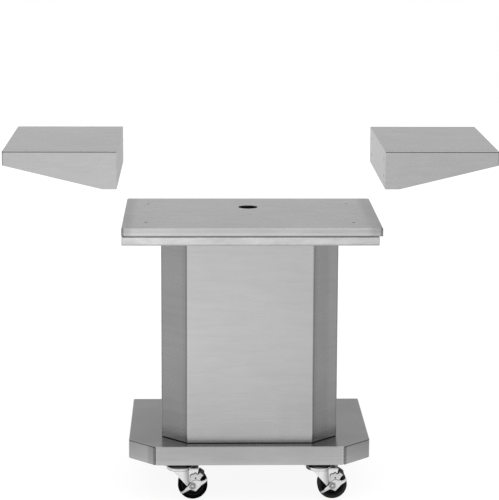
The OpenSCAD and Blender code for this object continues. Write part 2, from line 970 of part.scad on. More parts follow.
// Wheel core: hub, web and rim
module wheel_core(i) {
  rim_r = wheel_d / 2 - tyre_t;
  hub_half = leg_in - clear;
  rim_t = 4;
  color("dimgray")
    at_axle(i)
      difference() {
        union() {
          y_rod(hub_r, -hub_half, hub_half);
          y_rod(rim_r, -web_t / 2, web_t / 2);
          difference() {
            y_rod(rim_r, -wheel_w / 2 + 1, wheel_w / 2 - 1);
            y_rod(rim_r - rim_t, -wheel_w, wheel_w);
          }
        }
        y_rod(sleeve_r + fit, -wheel_w, wheel_w);
      }
}

// Rubber tyre with round shoulders and a moulded groove near its edge
module tyre(i) {
  outer = wheel_d / 2;
  inner = outer - tyre_t;
  groove_r = 0.8;
  color("black")
    at_axle(i)
      rotate([-90, 0, 0])
        rotate_extrude($fn = 96)
          difference() {
            union() {
              translate([inner, -wheel_w / 2])
                square([tyre_t - tyre_round, wheel_w]);
              translate([inner, -wheel_w / 2 + tyre_round])
                square([tyre_t, wheel_w - 2 * tyre_round]);
              for (s = [-1, 1])
                translate([outer - tyre_round, s * (wheel_w / 2 - tyre_round)])
                  circle(r = tyre_round);
            }
            for (s = [-1, 1])
              translate([inner + tyre_t / 3, s * wheel_w / 2])
                circle(r = groove_r);
          }
}

// Directions of the brake shoe's two edges and middle, around the axle
shoe_low = 39;
shoe_high = 57;
shoe_mid = (shoe_low + shoe_high) / 2;

// Outline of the brake plate in X and Z, around the axle
module brake_outline() {
  reach = axle_z + shoe_gap;
  polygon([
    [-8, 4], [-7, 30], [8, 31], [13, 32], [15, 35], [20, 35],
    reach * [cos(shoe_mid), sin(shoe_mid)] + [2, 2],
    reach * [cos(shoe_low), sin(shoe_low)] + [1, 0], [20, 22], [12, 4]
  ]);
  circle(r = 9);
}

// Brake plate with its shoe, which is bent in over the tyre
module brake_plate(i) {
  shoe_in = axle_z + shoe_gap;
  color("whitesmoke")
    at_axle(i)
      difference() {
        union() {
          y_plate(-plate_out, -plate_out + brake_t)
            brake_outline();
          y_plate(-plate_out, -plate_out + shoe_reach)
            intersection() {
              difference() {
                circle(r = shoe_in + brake_t, $fn = 96);
                circle(r = shoe_in, $fn = 96);
              }
              polygon([
                [0, 0], wheel_d * [cos(shoe_low), sin(shoe_low)],
                wheel_d * [cos(shoe_high), sin(shoe_high)]
              ]);
            }
        }
        y_rod(axle_r + 1.5, -plate_out - cut, 0);
        translate([4.5, 0, 20.5])
          y_rod(1.5, -plate_out - cut, -leg_out);
      }
}

// Outline of the brake lever in X and Z, around the axle
module lever_outline() {
  polygon([
    [-32, -18], [-28, -22], [-20, -18], [-9, -11], [1, -12], [4, -15.5], [7, -12],
    [13, -5.5], [20, 2], [33, 9], [35, 13], [31, 18], [20, 14], [0, 13], [-8, 8], [-14, 0]
  ]);
  circle(r = 12);
}

// Brake lever: a rocker on the axle bolt with a foot pad at each end
module brake_lever(i) {
  color("whitesmoke")
    at_axle(i)
      difference() {
        union() {
          y_plate(-lever_out, -lever_out + brake_t)
            lever_outline();
          translate([-31, -lever_out, -17])
            rotate([0, -43, 0])
              translate([0, -pad_reach, -brake_t])
                cube([14, pad_reach + brake_t, brake_t]);
          translate([20, -lever_out, 14])
            rotate([0, -20, 0])
              translate([0, -pad_reach, -brake_t])
                cube([12, pad_reach + brake_t, brake_t]);
        }
        y_rod(axle_r + fit, -lever_out - cut, -lever_out + brake_t + cut);
      }
}

base_pan();
caster_rail(-1);  // front_caster_rail
caster_rail(1);  // rear_caster_rail
cylinder_ring();
column_front();
column_left_side();
column_right_side();
column_rear_frame();
column_bolts();
column_rivets();
rear_door();
door_pull();
door_hinge_leaves();
column_hinge_leaves();
hinge_pins();
magnet_catch();
door_strike();
deck_frame();
deck_bearers();
deck_pan();
deck_bolts();
left_half() shelf();  // left_shelf
left_half() shelf_bracket();  // left_shelf_bracket
left_half() shelf_rib();  // left_shelf_rib
shelf();  // right_shelf
shelf_bracket();  // right_shelf_bracket
shelf_rib();  // right_shelf_rib
caster_plate(0);  // plate_front_left
caster_plate(1);  // plate_front_right
caster_plate(2);  // plate_rear_left
caster_plate(3);  // plate_rear_right
kingpins();
swivel_balls();
caster_bolts();
fork(0);  // fork_front_left
fork(1);  // fork_front_right
fork(2);  // fork_rear_left
fork(3);  // fork_rear_right
axle(0);  // axle_front_left
axle(1);  // axle_front_right
axle(2);  // axle_rear_left
axle(3);  // axle_rear_right
axle_sleeve(0);  // sleeve_front_left
axle_sleeve(1);  // sleeve_front_right
axle_sleeve(2);  // sleeve_rear_left
axle_sleeve(3);  // sleeve_rear_right
wheel_core(0);  // core_front_left
wheel_core(1);  // core_front_right
wheel_core(2);  // core_rear_left
wheel_core(3);  // core_rear_right
tyre(0);  // tyre_front_left
tyre(1);  // tyre_front_right
tyre(2);  // tyre_rear_left
tyre(3);  // tyre_rear_right
brake_plate(0);  // brake_plate_left
brake_plate(1);  // brake_plate_right
brake_lever(0);  // brake_lever_left
brake_lever(1);  // brake_lever_right
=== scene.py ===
"""Looks of the grill pedestal: folded brushed sheet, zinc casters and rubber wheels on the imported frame.

Shapes are written in millimetres in the row frame and stored in metres, each with its object at the origin.
"""
import logging
import math
from dataclasses import dataclass
from enum import Enum
from typing import Callable, Optional, Sequence

import bmesh
import bpy
from mathutils import Matrix, Vector
from mathutils.geometry import tessellate_polygon


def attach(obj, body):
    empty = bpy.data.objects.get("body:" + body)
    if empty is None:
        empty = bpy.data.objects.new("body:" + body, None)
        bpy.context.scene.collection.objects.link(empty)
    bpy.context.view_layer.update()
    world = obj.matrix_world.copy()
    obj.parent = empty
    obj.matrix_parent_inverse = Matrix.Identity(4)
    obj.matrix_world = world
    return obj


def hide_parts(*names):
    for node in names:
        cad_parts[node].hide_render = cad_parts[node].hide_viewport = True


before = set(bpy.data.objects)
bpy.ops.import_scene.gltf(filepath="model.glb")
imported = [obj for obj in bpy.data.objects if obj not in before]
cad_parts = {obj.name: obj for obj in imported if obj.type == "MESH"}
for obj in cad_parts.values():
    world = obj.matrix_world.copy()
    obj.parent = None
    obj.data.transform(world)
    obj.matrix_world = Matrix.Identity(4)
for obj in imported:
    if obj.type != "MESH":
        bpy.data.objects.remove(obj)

LOG = logging.getLogger("pedestal")
MM = 0.001
Point2 = tuple[float, float]
Point3 = tuple[float, float, float]
Loop = list[Point2]
Row = list[Point3]
Bend = list[tuple[Point2, Point2]]
Stops = tuple[Point2, ...]
Colour = tuple[float, float, float, float]
Socket = bpy.types.NodeSocket
Sockets = bpy.types.bpy_prop_collection
WHITE: Colour = (1.0, 1.0, 1.0, 1.0)
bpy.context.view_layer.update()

# The body that stands still.
PEDESTAL = "pedestal"

# Segments in a softened edge, and the angles from which edges are softened and shaded sharp.
EDGE_STEPS = 2
SOFTENED_FROM, SHARP_FROM = math.radians(38), math.radians(50)

# Casters' distances from the middle. Top of the crease in a fork leg, from the swivel axis and the floor, and how
# far the crease runs out per height. In millimetres.
CASTER_X, CASTER_Y = 177.0, 180.5
CREASE_TOP: Point2 = (21.7, 76.2)
CREASE_LEAN = 0.074


# Outlines


def signed_area(loop: Loop) -> float:
    """Area of a loop, above zero where it runs anticlockwise."""
    return 0.5 * sum(a[0] * b[1] - b[0] * a[1] for a, b in zip(loop, loop[1:] + loop[:1]))


def quarter(steps: int) -> list[Point2]:
    """Sine and cosine at even steps of a quarter turn."""
    return [(math.sin(angle), math.cos(angle)) for angle in (math.pi / 2 * k / steps for k in range(steps + 1))]


def faded(value: float, start: float, length: float) -> float:
    """Share that grows from 0 at a start to 1 a length further on."""
    return min(1.0, max(0.0, (value - start) / length))


def at(loop: Loop, height: float) -> Row:
    """The loop's points at one height."""
    return [(u, v, height) for u, v in loop]


def inset(loop: Loop, amount: float) -> Loop:
    """Draws a closed loop in on every side.

    Args:
        loop: The outline.
        amount: Distance inwards, or outwards below zero.

    Returns:
        A loop with as many points.
    """
    turn = 1.0 if signed_area(loop) > 0 else -1.0
    result: Loop = []
    for index, here in enumerate(loop):
        point = Vector(here)
        before = (point - Vector(loop[index - 1])).normalized()
        after = (Vector(loop[(index + 1) % len(loop)]) - point).normalized()
        left, right = Vector((-before.y, before.x)), Vector((-after.y, after.x))
        moved = point + (left + right) * (turn * amount / max(0.3, 1 + left.dot(right)))
        result.append((moved.x, moved.y))
    return result


def rounded(points: Loop, radius: float, steps: int = 4, closed: bool = True) -> Loop:
    """Rounds the corners of an outline.

    Args:
        points: Corners.
        radius: Largest distance from a corner at which its curve starts.
        steps: Number of segments in each curve.
        closed: False for an open line, whose ends stay.

    Returns:
        The rounded outline.
    """
    result: Loop = []
    count = len(points)
    for index, here in enumerate(points):
        if not closed and index in (0, count - 1):
            result.append(here)
            continue
        point = Vector(here)
        before, after = Vector(points[index - 1]), Vector(points[(index + 1) % count])
        reach_before = min(radius, 0.45 * (before - point).length)
        reach_after = min(radius, 0.45 * (after - point).length)
        start = point + (before - point).normalized() * reach_before
        end = point + (after - point).normalized() * reach_after
        for step in range(steps + 1):
            t = step / steps
            curve = start * (1 - t) ** 2 + point * (2 * t * (1 - t)) + end * t**2
            result.append((curve.x, curve.y))
    return result


def circle(radius: float, steps: int = 32, centre: Point2 = (0.0, 0.0)) -> Loop:
    """Closed ring of points."""
    turn = 2 * math.pi / steps
    return [(centre[0] + radius * math.cos(k * turn), centre[1] + radius * math.sin(k * turn)) for k in range(steps)]


def slot_hole(centre: Point2, width: float, height: float) -> Loop:
    """Slot with round ends, longer along its first axis unless its height is larger.

    Args:
        centre: Its middle.
        width: Length along the first axis.
        height: Length along the second axis.

    Returns:
        The slot's loop.
    """
    steps, radius = 8, min(width, height) / 2
    reach_u, reach_v = width / 2 - radius, height / 2 - radius
    result: Loop = []
    for k in range(2 * steps + 2):
        corner = k // (steps + 1)
        angle = math.pi * ((k % (steps + 1)) / steps + corner - (0.5 if reach_u >= reach_v else 0.0))
        side = 1 - 2 * corner
        result.append((centre[0] + side * reach_u + radius * math.cos(angle),
                       centre[1] + side * reach_v + radius * math.sin(angle)))
    return result


def rectangle(width: float, depth: float, radius: float = 0.0, steps: int = 4, centre: Point2 = (0.0, 0.0)) -> Loop:
    """Rectangle, with true round corners where a radius is given.

    Args:
        width: Length along the first axis.
        depth: Length along the second axis.
        radius: Radius of the corners.
        steps: Segments in each corner.
        centre: Its middle.

    Returns:
        The rectangle's loop.
    """
    half_w, half_d = width / 2, depth / 2
    if radius <= 0:
        corners = [(half_w, half_d), (-half_w, half_d), (-half_w, -half_d), (half_w, -half_d)]
        return [(centre[0] + u, centre[1] + v) for u, v in corners]
    result: Loop = []
    for index, (u, v) in enumerate([(1, 1), (-1, 1), (-1, -1), (1, -1)]):
        for step in range(steps + 1):
            angle = math.pi / 2 * (index + step / steps)
            result.append((centre[0] + u * (half_w - radius) + radius * math.cos(angle),
                           centre[1] + v * (half_d - radius) + radius * math.sin(angle)))
    return result


def ribbon(path: Loop, thickness: float) -> Loop:
    """Closed outline of a strip on the left of an open path.

    Args:
        path: The path.
        thickness: Width of the strip.

    Returns:
        The path and the strip's other side.
    """
    inner: Loop = []
    for index, here in enumerate(path):
        point = Vector(here)
        before = Vector(path[max(index - 1, 0)])
        after = Vector(path[min(index + 1, len(path) - 1)])
        first = (point - before).normalized() if index else (after - point).normalized()
        second = (after - point).normalized() if index < len(path) - 1 else first
        left, right = Vector((-first.y, first.x)), Vector((-second.y, second.x))
        moved = point + (left + right) * (thickness / (1 + left.dot(right)))
        inner.append((moved.x, moved.y))
    return path + inner[::-1]


def tangent(point: Point2, centre: Point2, radius: float, side: int) -> Point2:
    """Point where a line from a point touches a circle; side picks one of the two.

    Args:
        point: Start of the line.
        centre: Middle of the circle.
        radius: Its radius.
        side: 1 or -1, for one or the other of the two lines.

    Returns:
        The point on the circle.
    """
    away = Vector(centre) - Vector(point)
    reach = math.sqrt(away.length**2 - radius**2)
    angle = math.atan2(away.y, away.x) + side * math.asin(radius / away.length)
    return (point[0] + reach * math.cos(angle), point[1] + reach * math.sin(angle))


class Plane(Enum):
    """Plane that an outline lies in; its thickness runs along the third axis."""

    FLOOR = "xy"
    FRONT = "xz"

    def place(self, u: float, v: float, w: float) -> Point3:
        """Row frame point of an outline's point at a height over its plane."""
        return (u, v, w) if self is Plane.FLOOR else (u, w, v)


class Shape:
    """Closed mesh under construction, in millimetres."""

    def __init__(self) -> None:
        """Starts with no points and no faces."""
        self.points: Row = []
        self.faces: list[tuple[int, ...]] = []

    def bridge(self, rows: Sequence[Sequence[int]], around: bool = True) -> None:
        """Puts quads between rows of points that are in the mesh.

        Args:
            rows: Rows of point numbers, all with as many points.
            around: Whether each row closes on itself.
        """
        for low, high in zip(rows, rows[1:]):
            count = len(low)
            for k in range(count if around else count - 1):
                n = (k + 1) % count
                self.faces.append((low[k], low[n], high[n], high[k]))

    def add(self, points: Sequence[Point3]) -> list[int]:
        """Adds points to the mesh.

        Args:
            points: Places of the points.

        Returns:
            The points' numbers.
        """
        start = len(self.points)
        self.points.extend(points)
        return list(range(start, len(self.points)))

    def cap(self, loops: Sequence[Loop], numbers: Sequence[int]) -> None:
        """Fills a flat outline, with holes where there is more than one loop.

        Args:
            loops: Outer loop and holes.
            numbers: Numbers of all their points in the mesh.
        """
        if len(loops) == 1 and len(loops[0]) < 9:
            self.faces.append(tuple(numbers))
            return
        flat = [[Vector((u, v, 0.0)) for u, v in loop] for loop in loops]
        for triangle in tessellate_polygon(flat):
            self.faces.append(tuple(numbers[k] for k in triangle))

    def plate(self, plane: Plane, outline: Loop, low: float, high: float,
              holes: Sequence[Loop] = (), edge: float = 0.0) -> "Shape":
        """Adds a flat plate with softened edges.

        Args:
            plane: Plane of the outline.
            outline: Outer loop.
            low: Lower face, along the plane's third axis.
            high: Upper face.
            holes: Loops of its holes.
            edge: Radius of the softened edges.

        Returns:
            This shape.
        """
        loops = [outline, *holes]
        sections: list[tuple[float, float]] = []
        if edge > 0:
            arc = quarter(EDGE_STEPS)
            sections += [(edge * (1 - sine), low + edge * (1 - cosine)) for sine, cosine in arc]
            sections += [(edge * (1 - cosine), high - edge * (1 - sine)) for sine, cosine in arc]
        else:
            sections += [(0.0, low), (0.0, high)]
        ends: list[list[int]] = [[], []]
        flats: list[list[Loop]] = [[], []]
        for index, loop in enumerate(loops):
            rows = []
            for amount, w in sections:
                drawn = inset(loop, amount if index == 0 else -amount) if amount else loop
                rows.append(self.add([plane.place(u, v, w) for u, v in drawn]))
                if len(rows) in (1, len(sections)):
                    flats[len(rows) > 1].append(drawn)
            self.bridge(rows)
            ends[0] += rows[0]
            ends[1] += rows[-1]
        for k in (0, 1):
            self.cap(flats[k], ends[k])
        return self

    def lathe(self, plane: Plane, centre: Point2, profile: Loop, steps: int = 64) -> "Shape":
        """Turns a closed profile around an axis.

        Args:
            plane: Plane that the axis stands on.
            centre: Place of the axis in that plane.
            profile: Closed loop of radius and height; one with two points at radius 0 closes on the axis.
            steps: Segments around.

        Returns:
            This shape.
        """
        on_axis = [k for k, (r, _) in enumerate(profile) if r <= 0]
        if on_axis:
            profile = profile[on_axis[-1]:] + profile[:on_axis[-1]]
        rows: list[list[int]] = []
        for radius, height in profile:
            if radius <= 0:
                rows.append(self.add([plane.place(centre[0], centre[1], height)]) * steps)
            else:
                ring = circle(radius, steps, centre)
                rows.append(self.add([plane.place(u, v, height) for u, v in ring]))
        if not on_axis:
            rows.append(rows[0])
        for low, high in zip(rows, rows[1:]):
            for k in range(steps):
                n = (k + 1) % steps
                face = tuple(dict.fromkeys((low[k], low[n], high[n], high[k])))
                if len(face) > 2:
                    self.faces.append(face)
        return self

    def sheet(self, plane: Plane, outer: list[Row], inner: list[Row], around: bool = True,
              capped: bool = True, holes: Sequence[Loop] = ()) -> "Shape":
        """Adds folded sheet metal from its outer and inner skins.

        Args:
            plane: Plane that u and v of each row lie in.
            outer: Rows of (u, v, w) on the outer skin, from the rim to the flat face.
            inner: As many rows on the inner skin.
            around: Whether the rows close on themselves.
            capped: Whether the last row is filled with the flat face.
            holes: Loops of the flat face's holes.

        Returns:
            This shape.
        """
        first_face = len(self.faces)
        numbered: list[list[int]] = []
        for rows in (outer, inner):
            level = rows[-1][0][2]
            points = [plane.place(*p) for row in rows for p in row]
            points += [plane.place(u, v, level) for hole in holes for u, v in hole]
            numbered.append(self.add(points))
        count = len(outer[0])
        front = numbered[0]
        self.bridge([front[k * count:(k + 1) * count] for k in range(len(outer))], around)
        if capped:
            flat = [(u, v) for u, v, _ in outer[-1]]
            self.cap([flat, *holes], front[(len(outer) - 1) * count:])
        shift = numbered[1][0] - numbered[0][0]
        made = self.faces[first_face:]
        edges: dict[tuple[int, int], int] = {}
        for face in made:
            for a, b in zip(face, face[1:] + face[:1]):
                key = (min(a, b), max(a, b))
                edges[key] = edges.get(key, 0) + 1
        self.faces += [tuple(k + shift for k in reversed(face)) for face in made]
        self.faces += [(a, b, b + shift, a + shift) for (a, b), uses in edges.items() if uses == 1]
        return self

    def mirrored(self) -> "Shape":
        """Turns the shape over left to right; its normals are set when the mesh is made."""
        self.points = [(-x, y, z) for x, y, z in self.points]
        return self

    def moved(self, x: float, y: float) -> "Shape":
        """Shifts the whole shape over the floor."""
        self.points = [(a + x, b + y, c) for a, b, c in self.points]
        return self

    def mesh(self, name: str) -> bpy.types.Mesh:
        """Makes the mesh, in metres, with its normals outwards.

        Args:
            name: Its name.

        Returns:
            The mesh.
        """
        mesh = bpy.data.meshes.new(name)
        mesh.from_pydata([(x * MM, y * MM, z * MM) for x, y, z in self.points], [], self.faces)
        work = bmesh.new()
        work.from_mesh(mesh)
        bmesh.ops.recalc_face_normals(work, faces=work.faces)
        work.to_mesh(mesh)
        work.free()
        return mesh


def fold(face: float, turn: int, sheet: float, bend: float, steps: int = 4) -> Bend:
    """Section through a bend, from a flat face into the wall beside it.

    Args:
        face: Height of the face's outer side.
        turn: 1 where the wall stands up from the face, -1 where it hangs down.
        sheet: Sheet thickness.
        bend: Outer radius of the bend.
        steps: Segments in the bend.

    Returns:
        For each step, distance in from the wall and height, on the outer and on the inner skin.
    """
    tight = bend - sheet
    return [((bend * (1 - sine), face + turn * bend * (1 - cosine)),
             (bend - tight * sine, face + turn * (bend - tight * cosine))) for sine, cosine in quarter(steps)]


def skins(row: Callable[[float, float], Row], section: Bend) -> tuple[list[Row], list[Row]]:
    """Rows of the outer and the inner skin of folded sheet.

    Args:
        row: Gives the row that is drawn in by an amount, at a height.
        section: Amount and height of each row, on the outer and on the inner skin.

    Returns:
        Rows of the outer and of the inner skin.
    """
    return [row(*outer) for outer, _ in section], [row(*inner) for _, inner in section]


def folded(outline: Callable[[float], Loop], rim: float, face: float, sheet: float,
           bend: float) -> tuple[list[Row], list[Row]]:
    """Skins of a pan: a wall around an outline, a bend and a flat face.

    Args:
        outline: Gives the pan's outline, drawn in by an amount.
        rim: Height of the wall's free edge.
        face: Height of the flat face's outer side.
        sheet: Sheet thickness.
        bend: Outer radius of the bend.

    Returns:
        Rows of the outer and of the inner skin.
    """
    bent = fold(face, 1 if rim > face else -1, sheet, bend)
    return skins(lambda amount, height: at(outline(amount), height), [((0.0, rim), (sheet, rim)), *bent[::-1]])


# Finishes


class Graph:
    """Adds and links the nodes of one tree."""

    def __init__(self, tree: bpy.types.NodeTree) -> None:
        """Takes over a tree and empties it."""
        self.tree = tree
        self.tree.nodes.clear()

    def feed(self, socket: Socket, value: object) -> None:
        """Links a node's output to an input, or sets the input to a value."""
        if isinstance(value, Socket):
            self.tree.links.new(value, socket)
        else:
            socket.default_value = value

    def node(self, kind: str, inputs: Optional[dict] = None, **settings: object) -> bpy.types.Node:
        """Adds a node.

        Args:
            kind: Node type.
            inputs: Values or sockets for its inputs, by name or number.
            **settings: Its properties.

        Returns:
            The node.
        """
        made = self.tree.nodes.new(kind)
        for key, value in settings.items():
            setattr(made, key, value)
        for key, value in (inputs or {}).items():
            self.feed(made.inputs[key], value)
        return made

    def math(self, operation: str, *values: object) -> Socket:
        """Adds a math node and returns its result."""
        return self.node("ShaderNodeMath", dict(enumerate(values)), operation=operation).outputs[0]

    def colours(self, factor: object, low: object, high: object) -> Socket:
        """Mixes two colours and returns the result."""
        return self.node("ShaderNodeMix", {0: factor, 6: low, 7: high}, data_type="RGBA").outputs[2]

    def scaled(self, colour: Socket, level: object) -> Socket:
        """Lightens or darkens a colour by a level."""
        return self.node("ShaderNodeVectorMath", {0: colour, "Scale": level}, operation="SCALE").outputs[0]

    def ramp(self, value: Socket, low: float, high: float, to_low: float, to_high: float) -> Socket:
        """Maps a range to another one, clamped at its ends."""
        inputs = {"Value": value, "From Min": low, "From Max": high, "To Min": to_low, "To Max": to_high}
        return self.node("ShaderNodeMapRange", inputs).outputs["Result"]

    def vector(self, x: object = 0.0, y: object = 0.0, z: object = 0.0) -> Socket:
        """Joins three values."""
        return self.node("ShaderNodeCombineXYZ", {"X": x, "Y": y, "Z": z}).outputs[0]

    def place(self, kind: str = "Object") -> Socket:
        """Point of the surface, or its normal, in the piece's own coordinates."""
        return self.node("ShaderNodeTexCoord").outputs[kind]

    def axes(self, kind: str = "Object") -> Sockets:
        """The same, split into X, Y and Z."""
        return self.node("ShaderNodeSeparateXYZ", {0: self.place(kind)}).outputs

    def noise(self, place: Socket, scale: object, detail: float, roughness: float, distortion: float = 0.0) -> Socket:
        """Adds noise and returns its level, most of it between 0.3 and 0.7."""
        inputs = {"Vector": place, "Scale": scale, "Detail": detail, "Roughness": roughness, "Distortion": distortion}
        return self.node("ShaderNodeTexNoise", inputs).outputs["Fac"]

    def stretched(self, noise: Socket, low: float = 0.0) -> Socket:
        """Stretches the usual range of a noise to the range from a low value to 1."""
        return self.ramp(noise, 0.3, 0.7, low, 1.0)


@dataclass(frozen=True)
class Effect:
    """Effect that finishes share: a node group with named float inputs and one float output.

    Its fill function gets the group's inputs, adds the nodes and returns the socket for the output.
    """

    name: str
    output: str
    inputs: dict[str, float]
    fill: Callable[[Graph, Sockets], Socket]

    def tree(self) -> bpy.types.NodeTree:
        """The effect's node group, made once."""
        if self.name in bpy.data.node_groups:
            return bpy.data.node_groups[self.name]
        tree = bpy.data.node_groups.new(self.name, "ShaderNodeTree")
        for key, value in self.inputs.items():
            tree.interface.new_socket(key, in_out="INPUT", socket_type="NodeSocketFloat").default_value = value
        tree.interface.new_socket(self.output, in_out="OUTPUT", socket_type="NodeSocketFloat")
        graph = Graph(tree)
        level = self.fill(graph, graph.node("NodeGroupInput").outputs)
        graph.node("NodeGroupOutput", {self.output: level})
        return tree

    def on(self, graph: Graph, **values: float) -> Socket:
        """Places the effect in a material with a finish's own values and returns its output."""
        return graph.node("ShaderNodeGroup", values, node_tree=self.tree()).outputs[self.output]


def brushed_place(graph: Graph) -> tuple[Socket, Socket, Socket]:
    """Distances along and across the scratches, and 1 on flat tops.

    Args:
        graph: Graph of the tree.

    Returns:
        Distance along, distance across and the mask of flat tops.
    """
    here = graph.axes()
    flat = graph.math("GREATER_THAN", graph.math("ABSOLUTE", graph.axes("Normal")["Z"]), 0.7)
    across = graph.math("ADD", graph.math("MULTIPLY", here["Y"], flat),
                        graph.math("MULTIPLY", here["Z"], graph.math("SUBTRACT", 1.0, flat)))
    return graph.math("ADD", here["X"], graph.math("MULTIPLY", here["Y"], 0.7)), across, flat


def fill_brushing(graph: Graph, given: Sockets) -> Socket:
    """Long fine scratches that run level on every wall and left to right on every flat top.

    Args:
        graph: The group's graph.
        given: Its inputs, Across and Along.

    Returns:
        Level from 0 to 1.
    """
    along, across, flat = brushed_place(graph)
    level = 0.0
    for size, detail, weight in ((1.0, 3.0, 0.65), (0.23, 2.0, 0.35)):
        place = graph.vector(graph.math("MULTIPLY", graph.math("MULTIPLY", along, given["Along"]), size),
                             graph.math("MULTIPLY", graph.math("MULTIPLY", across, given["Across"]), size), flat)
        streaks = graph.noise(place, 1.0, detail, 0.6)
        level = graph.math("ADD", graph.math("MULTIPLY", streaks, weight), level)
    return graph.stretched(level)


def fill_smearing(graph: Graph, given: Sockets) -> Socket:
    """Faint level smears, as a polishing cloth leaves them, broader on flat tops.

    Args:
        graph: The group's graph.
        given: Its inputs, Across and Along.

    Returns:
        Level from -1 to 1.
    """
    along, across, flat = brushed_place(graph)
    spread = graph.math("MULTIPLY", given["Across"], graph.ramp(flat, 0.0, 1.0, 1.0, 0.3))
    place = graph.vector(graph.math("MULTIPLY", along, given["Along"]), graph.math("MULTIPLY", across, spread), flat)
    return graph.stretched(graph.noise(place, 1.0, 2.5, 0.6, 0.7), low=-1.0)


def fill_clouding(graph: Graph, given: Sockets) -> Socket:
    """Soft patches of handling and polish."""
    return graph.stretched(graph.noise(graph.place(), given["Scale"], 4.0, 0.55, 0.6))


def fill_stipple(graph: Graph, given: Sockets) -> Socket:
    """Fine even grain of plating, rubber and moulded plastic."""
    return graph.noise(graph.place(), given["Scale"], 5.0, 0.7)


BRUSHING = Effect("brushing", "Grain", {"Across": 900.0, "Along": 9.0}, fill_brushing)
SMEARING = Effect("smearing", "Smear", {"Across": 60.0, "Along": 8.0}, fill_smearing)
CLOUDING = Effect("clouding", "Cloud", {"Scale": 5.0}, fill_clouding)
STIPPLE = Effect("stipple", "Stipple", {"Scale": 900.0}, fill_stipple)


@dataclass(frozen=True)
class Finish:
    """Surface of a piece: the material's name, the record's slot and its look."""

    name: str
    slot: str
    tone: float
    roughness: float

    def colour(self, share: float = 1.0) -> Colour:
        """Neutral grey at a share of the tone."""
        level = self.tone * share
        return (level, level, level, 1.0)

    def mixed(self, graph: Graph, factor: Socket, low: float, high: float) -> Socket:
        """Colour between two shares of the tone."""
        return graph.colours(factor, self.colour(low), self.colour(high))

    def surface(self, graph: Graph, shader: bpy.types.Node) -> None:
        """Links the finish's effects to the shader."""
        raise NotImplementedError

    def material(self) -> bpy.types.Material:
        """The finish's material, made once."""
        found = bpy.data.materials.get(self.name)
        if found:
            return found
        made = bpy.data.materials.new(self.name)
        made.use_nodes = True
        made.diffuse_color = self.colour()
        graph = Graph(made.node_tree)
        shader = graph.node("ShaderNodeBsdfPrincipled")
        graph.node("ShaderNodeOutputMaterial", {"Surface": shader.outputs["BSDF"]})
        self.surface(graph, shader)
        return made


def dress(graph: Graph, shader: bpy.types.Node, colour: Socket, rough: Socket, height: Socket, depth: float) -> None:
    """Links a surface to its shader.

    Args:
        graph: The material's graph.
        shader: Its shader.
        colour: Base colour.
        rough: Roughness.
        height: Level of the grain, from 0 to 1.
        depth: Depth of the grain in metres.
    """
    bump = graph.node("ShaderNodeBump", {"Height": height, "Distance": depth, "Strength": 1.0})
    for key, value in (("Base Color", colour), ("Roughness", rough), ("Normal", bump.outputs["Normal"])):
        graph.feed(shader.inputs[key], value)


class Faces(Enum):
    """Faces that a band of painted highlight or shade lies on."""

    ALL = "all"
    WALLS = "walls"
    TOPS = "tops"
    CLIPPED = "clipped corners"


@dataclass(frozen=True)
class PaintedLightBand:
    """Band of painted highlight (lighter) or painted shade (darker) beside a fold, across an axis; lengths in
    millimetres.

    A one-sided band isn't mirrored, and one with a reach ends at that distance from the middle along X.
    """

    axis: str
    middle: float
    half: float
    share: float
    faces: Faces = Faces.ALL
    one_sided: bool = False
    reach: float = 0.0
    reach_fade: float = 3.0

    def mask(self, graph: Graph, facing: Sockets) -> Socket:
        """1 on the faces that the band lies on, 0 on the others.

        Args:
            graph: The material's graph.
            facing: The normal's coordinates.

        Returns:
            The mask.
        """
        if self.faces is Faces.CLIPPED:
            slant = graph.math("ABSOLUTE", graph.math("MULTIPLY", facing["X"], facing["Y"]))
            return graph.ramp(slant, 0.15, 0.3, 0.0, 1.0)
        low, high = (1.0, 0.0) if self.faces is Faces.WALLS else (0.0, 1.0)
        return graph.ramp(facing["Z"], 0.65, 0.75, low, high)

    def level(self, graph: Graph, here: Sockets, facing: Sockets) -> Socket:
        """Level that scales the colour to paint the highlight or shade, 1 away from the band.

        Args:
            graph: The material's graph.
            here: The point's coordinates.
            facing: The normal's coordinates.

        Returns:
            The level.
        """
        place = here[self.axis] if self.one_sided else graph.math("ABSOLUTE", here[self.axis])
        off = graph.math("ABSOLUTE", graph.math("SUBTRACT", place, self.middle * MM))
        level = graph.ramp(off, self.half * MM * 0.5, self.half * MM, self.share, 1.0)
        if self.faces is Faces.ALL:
            return level
        on_face = self.mask(graph, facing)
        if self.reach:
            near, far = (self.reach - self.reach_fade) * MM, (self.reach + self.reach_fade) * MM
            inside = graph.ramp(graph.math("ABSOLUTE", here["X"]), near, far, 1.0, 0.0)
            on_face = graph.math("MULTIPLY", on_face, inside)
        return graph.math("ADD", 1.0, graph.math("MULTIPLY", graph.math("SUBTRACT", level, 1.0), on_face))


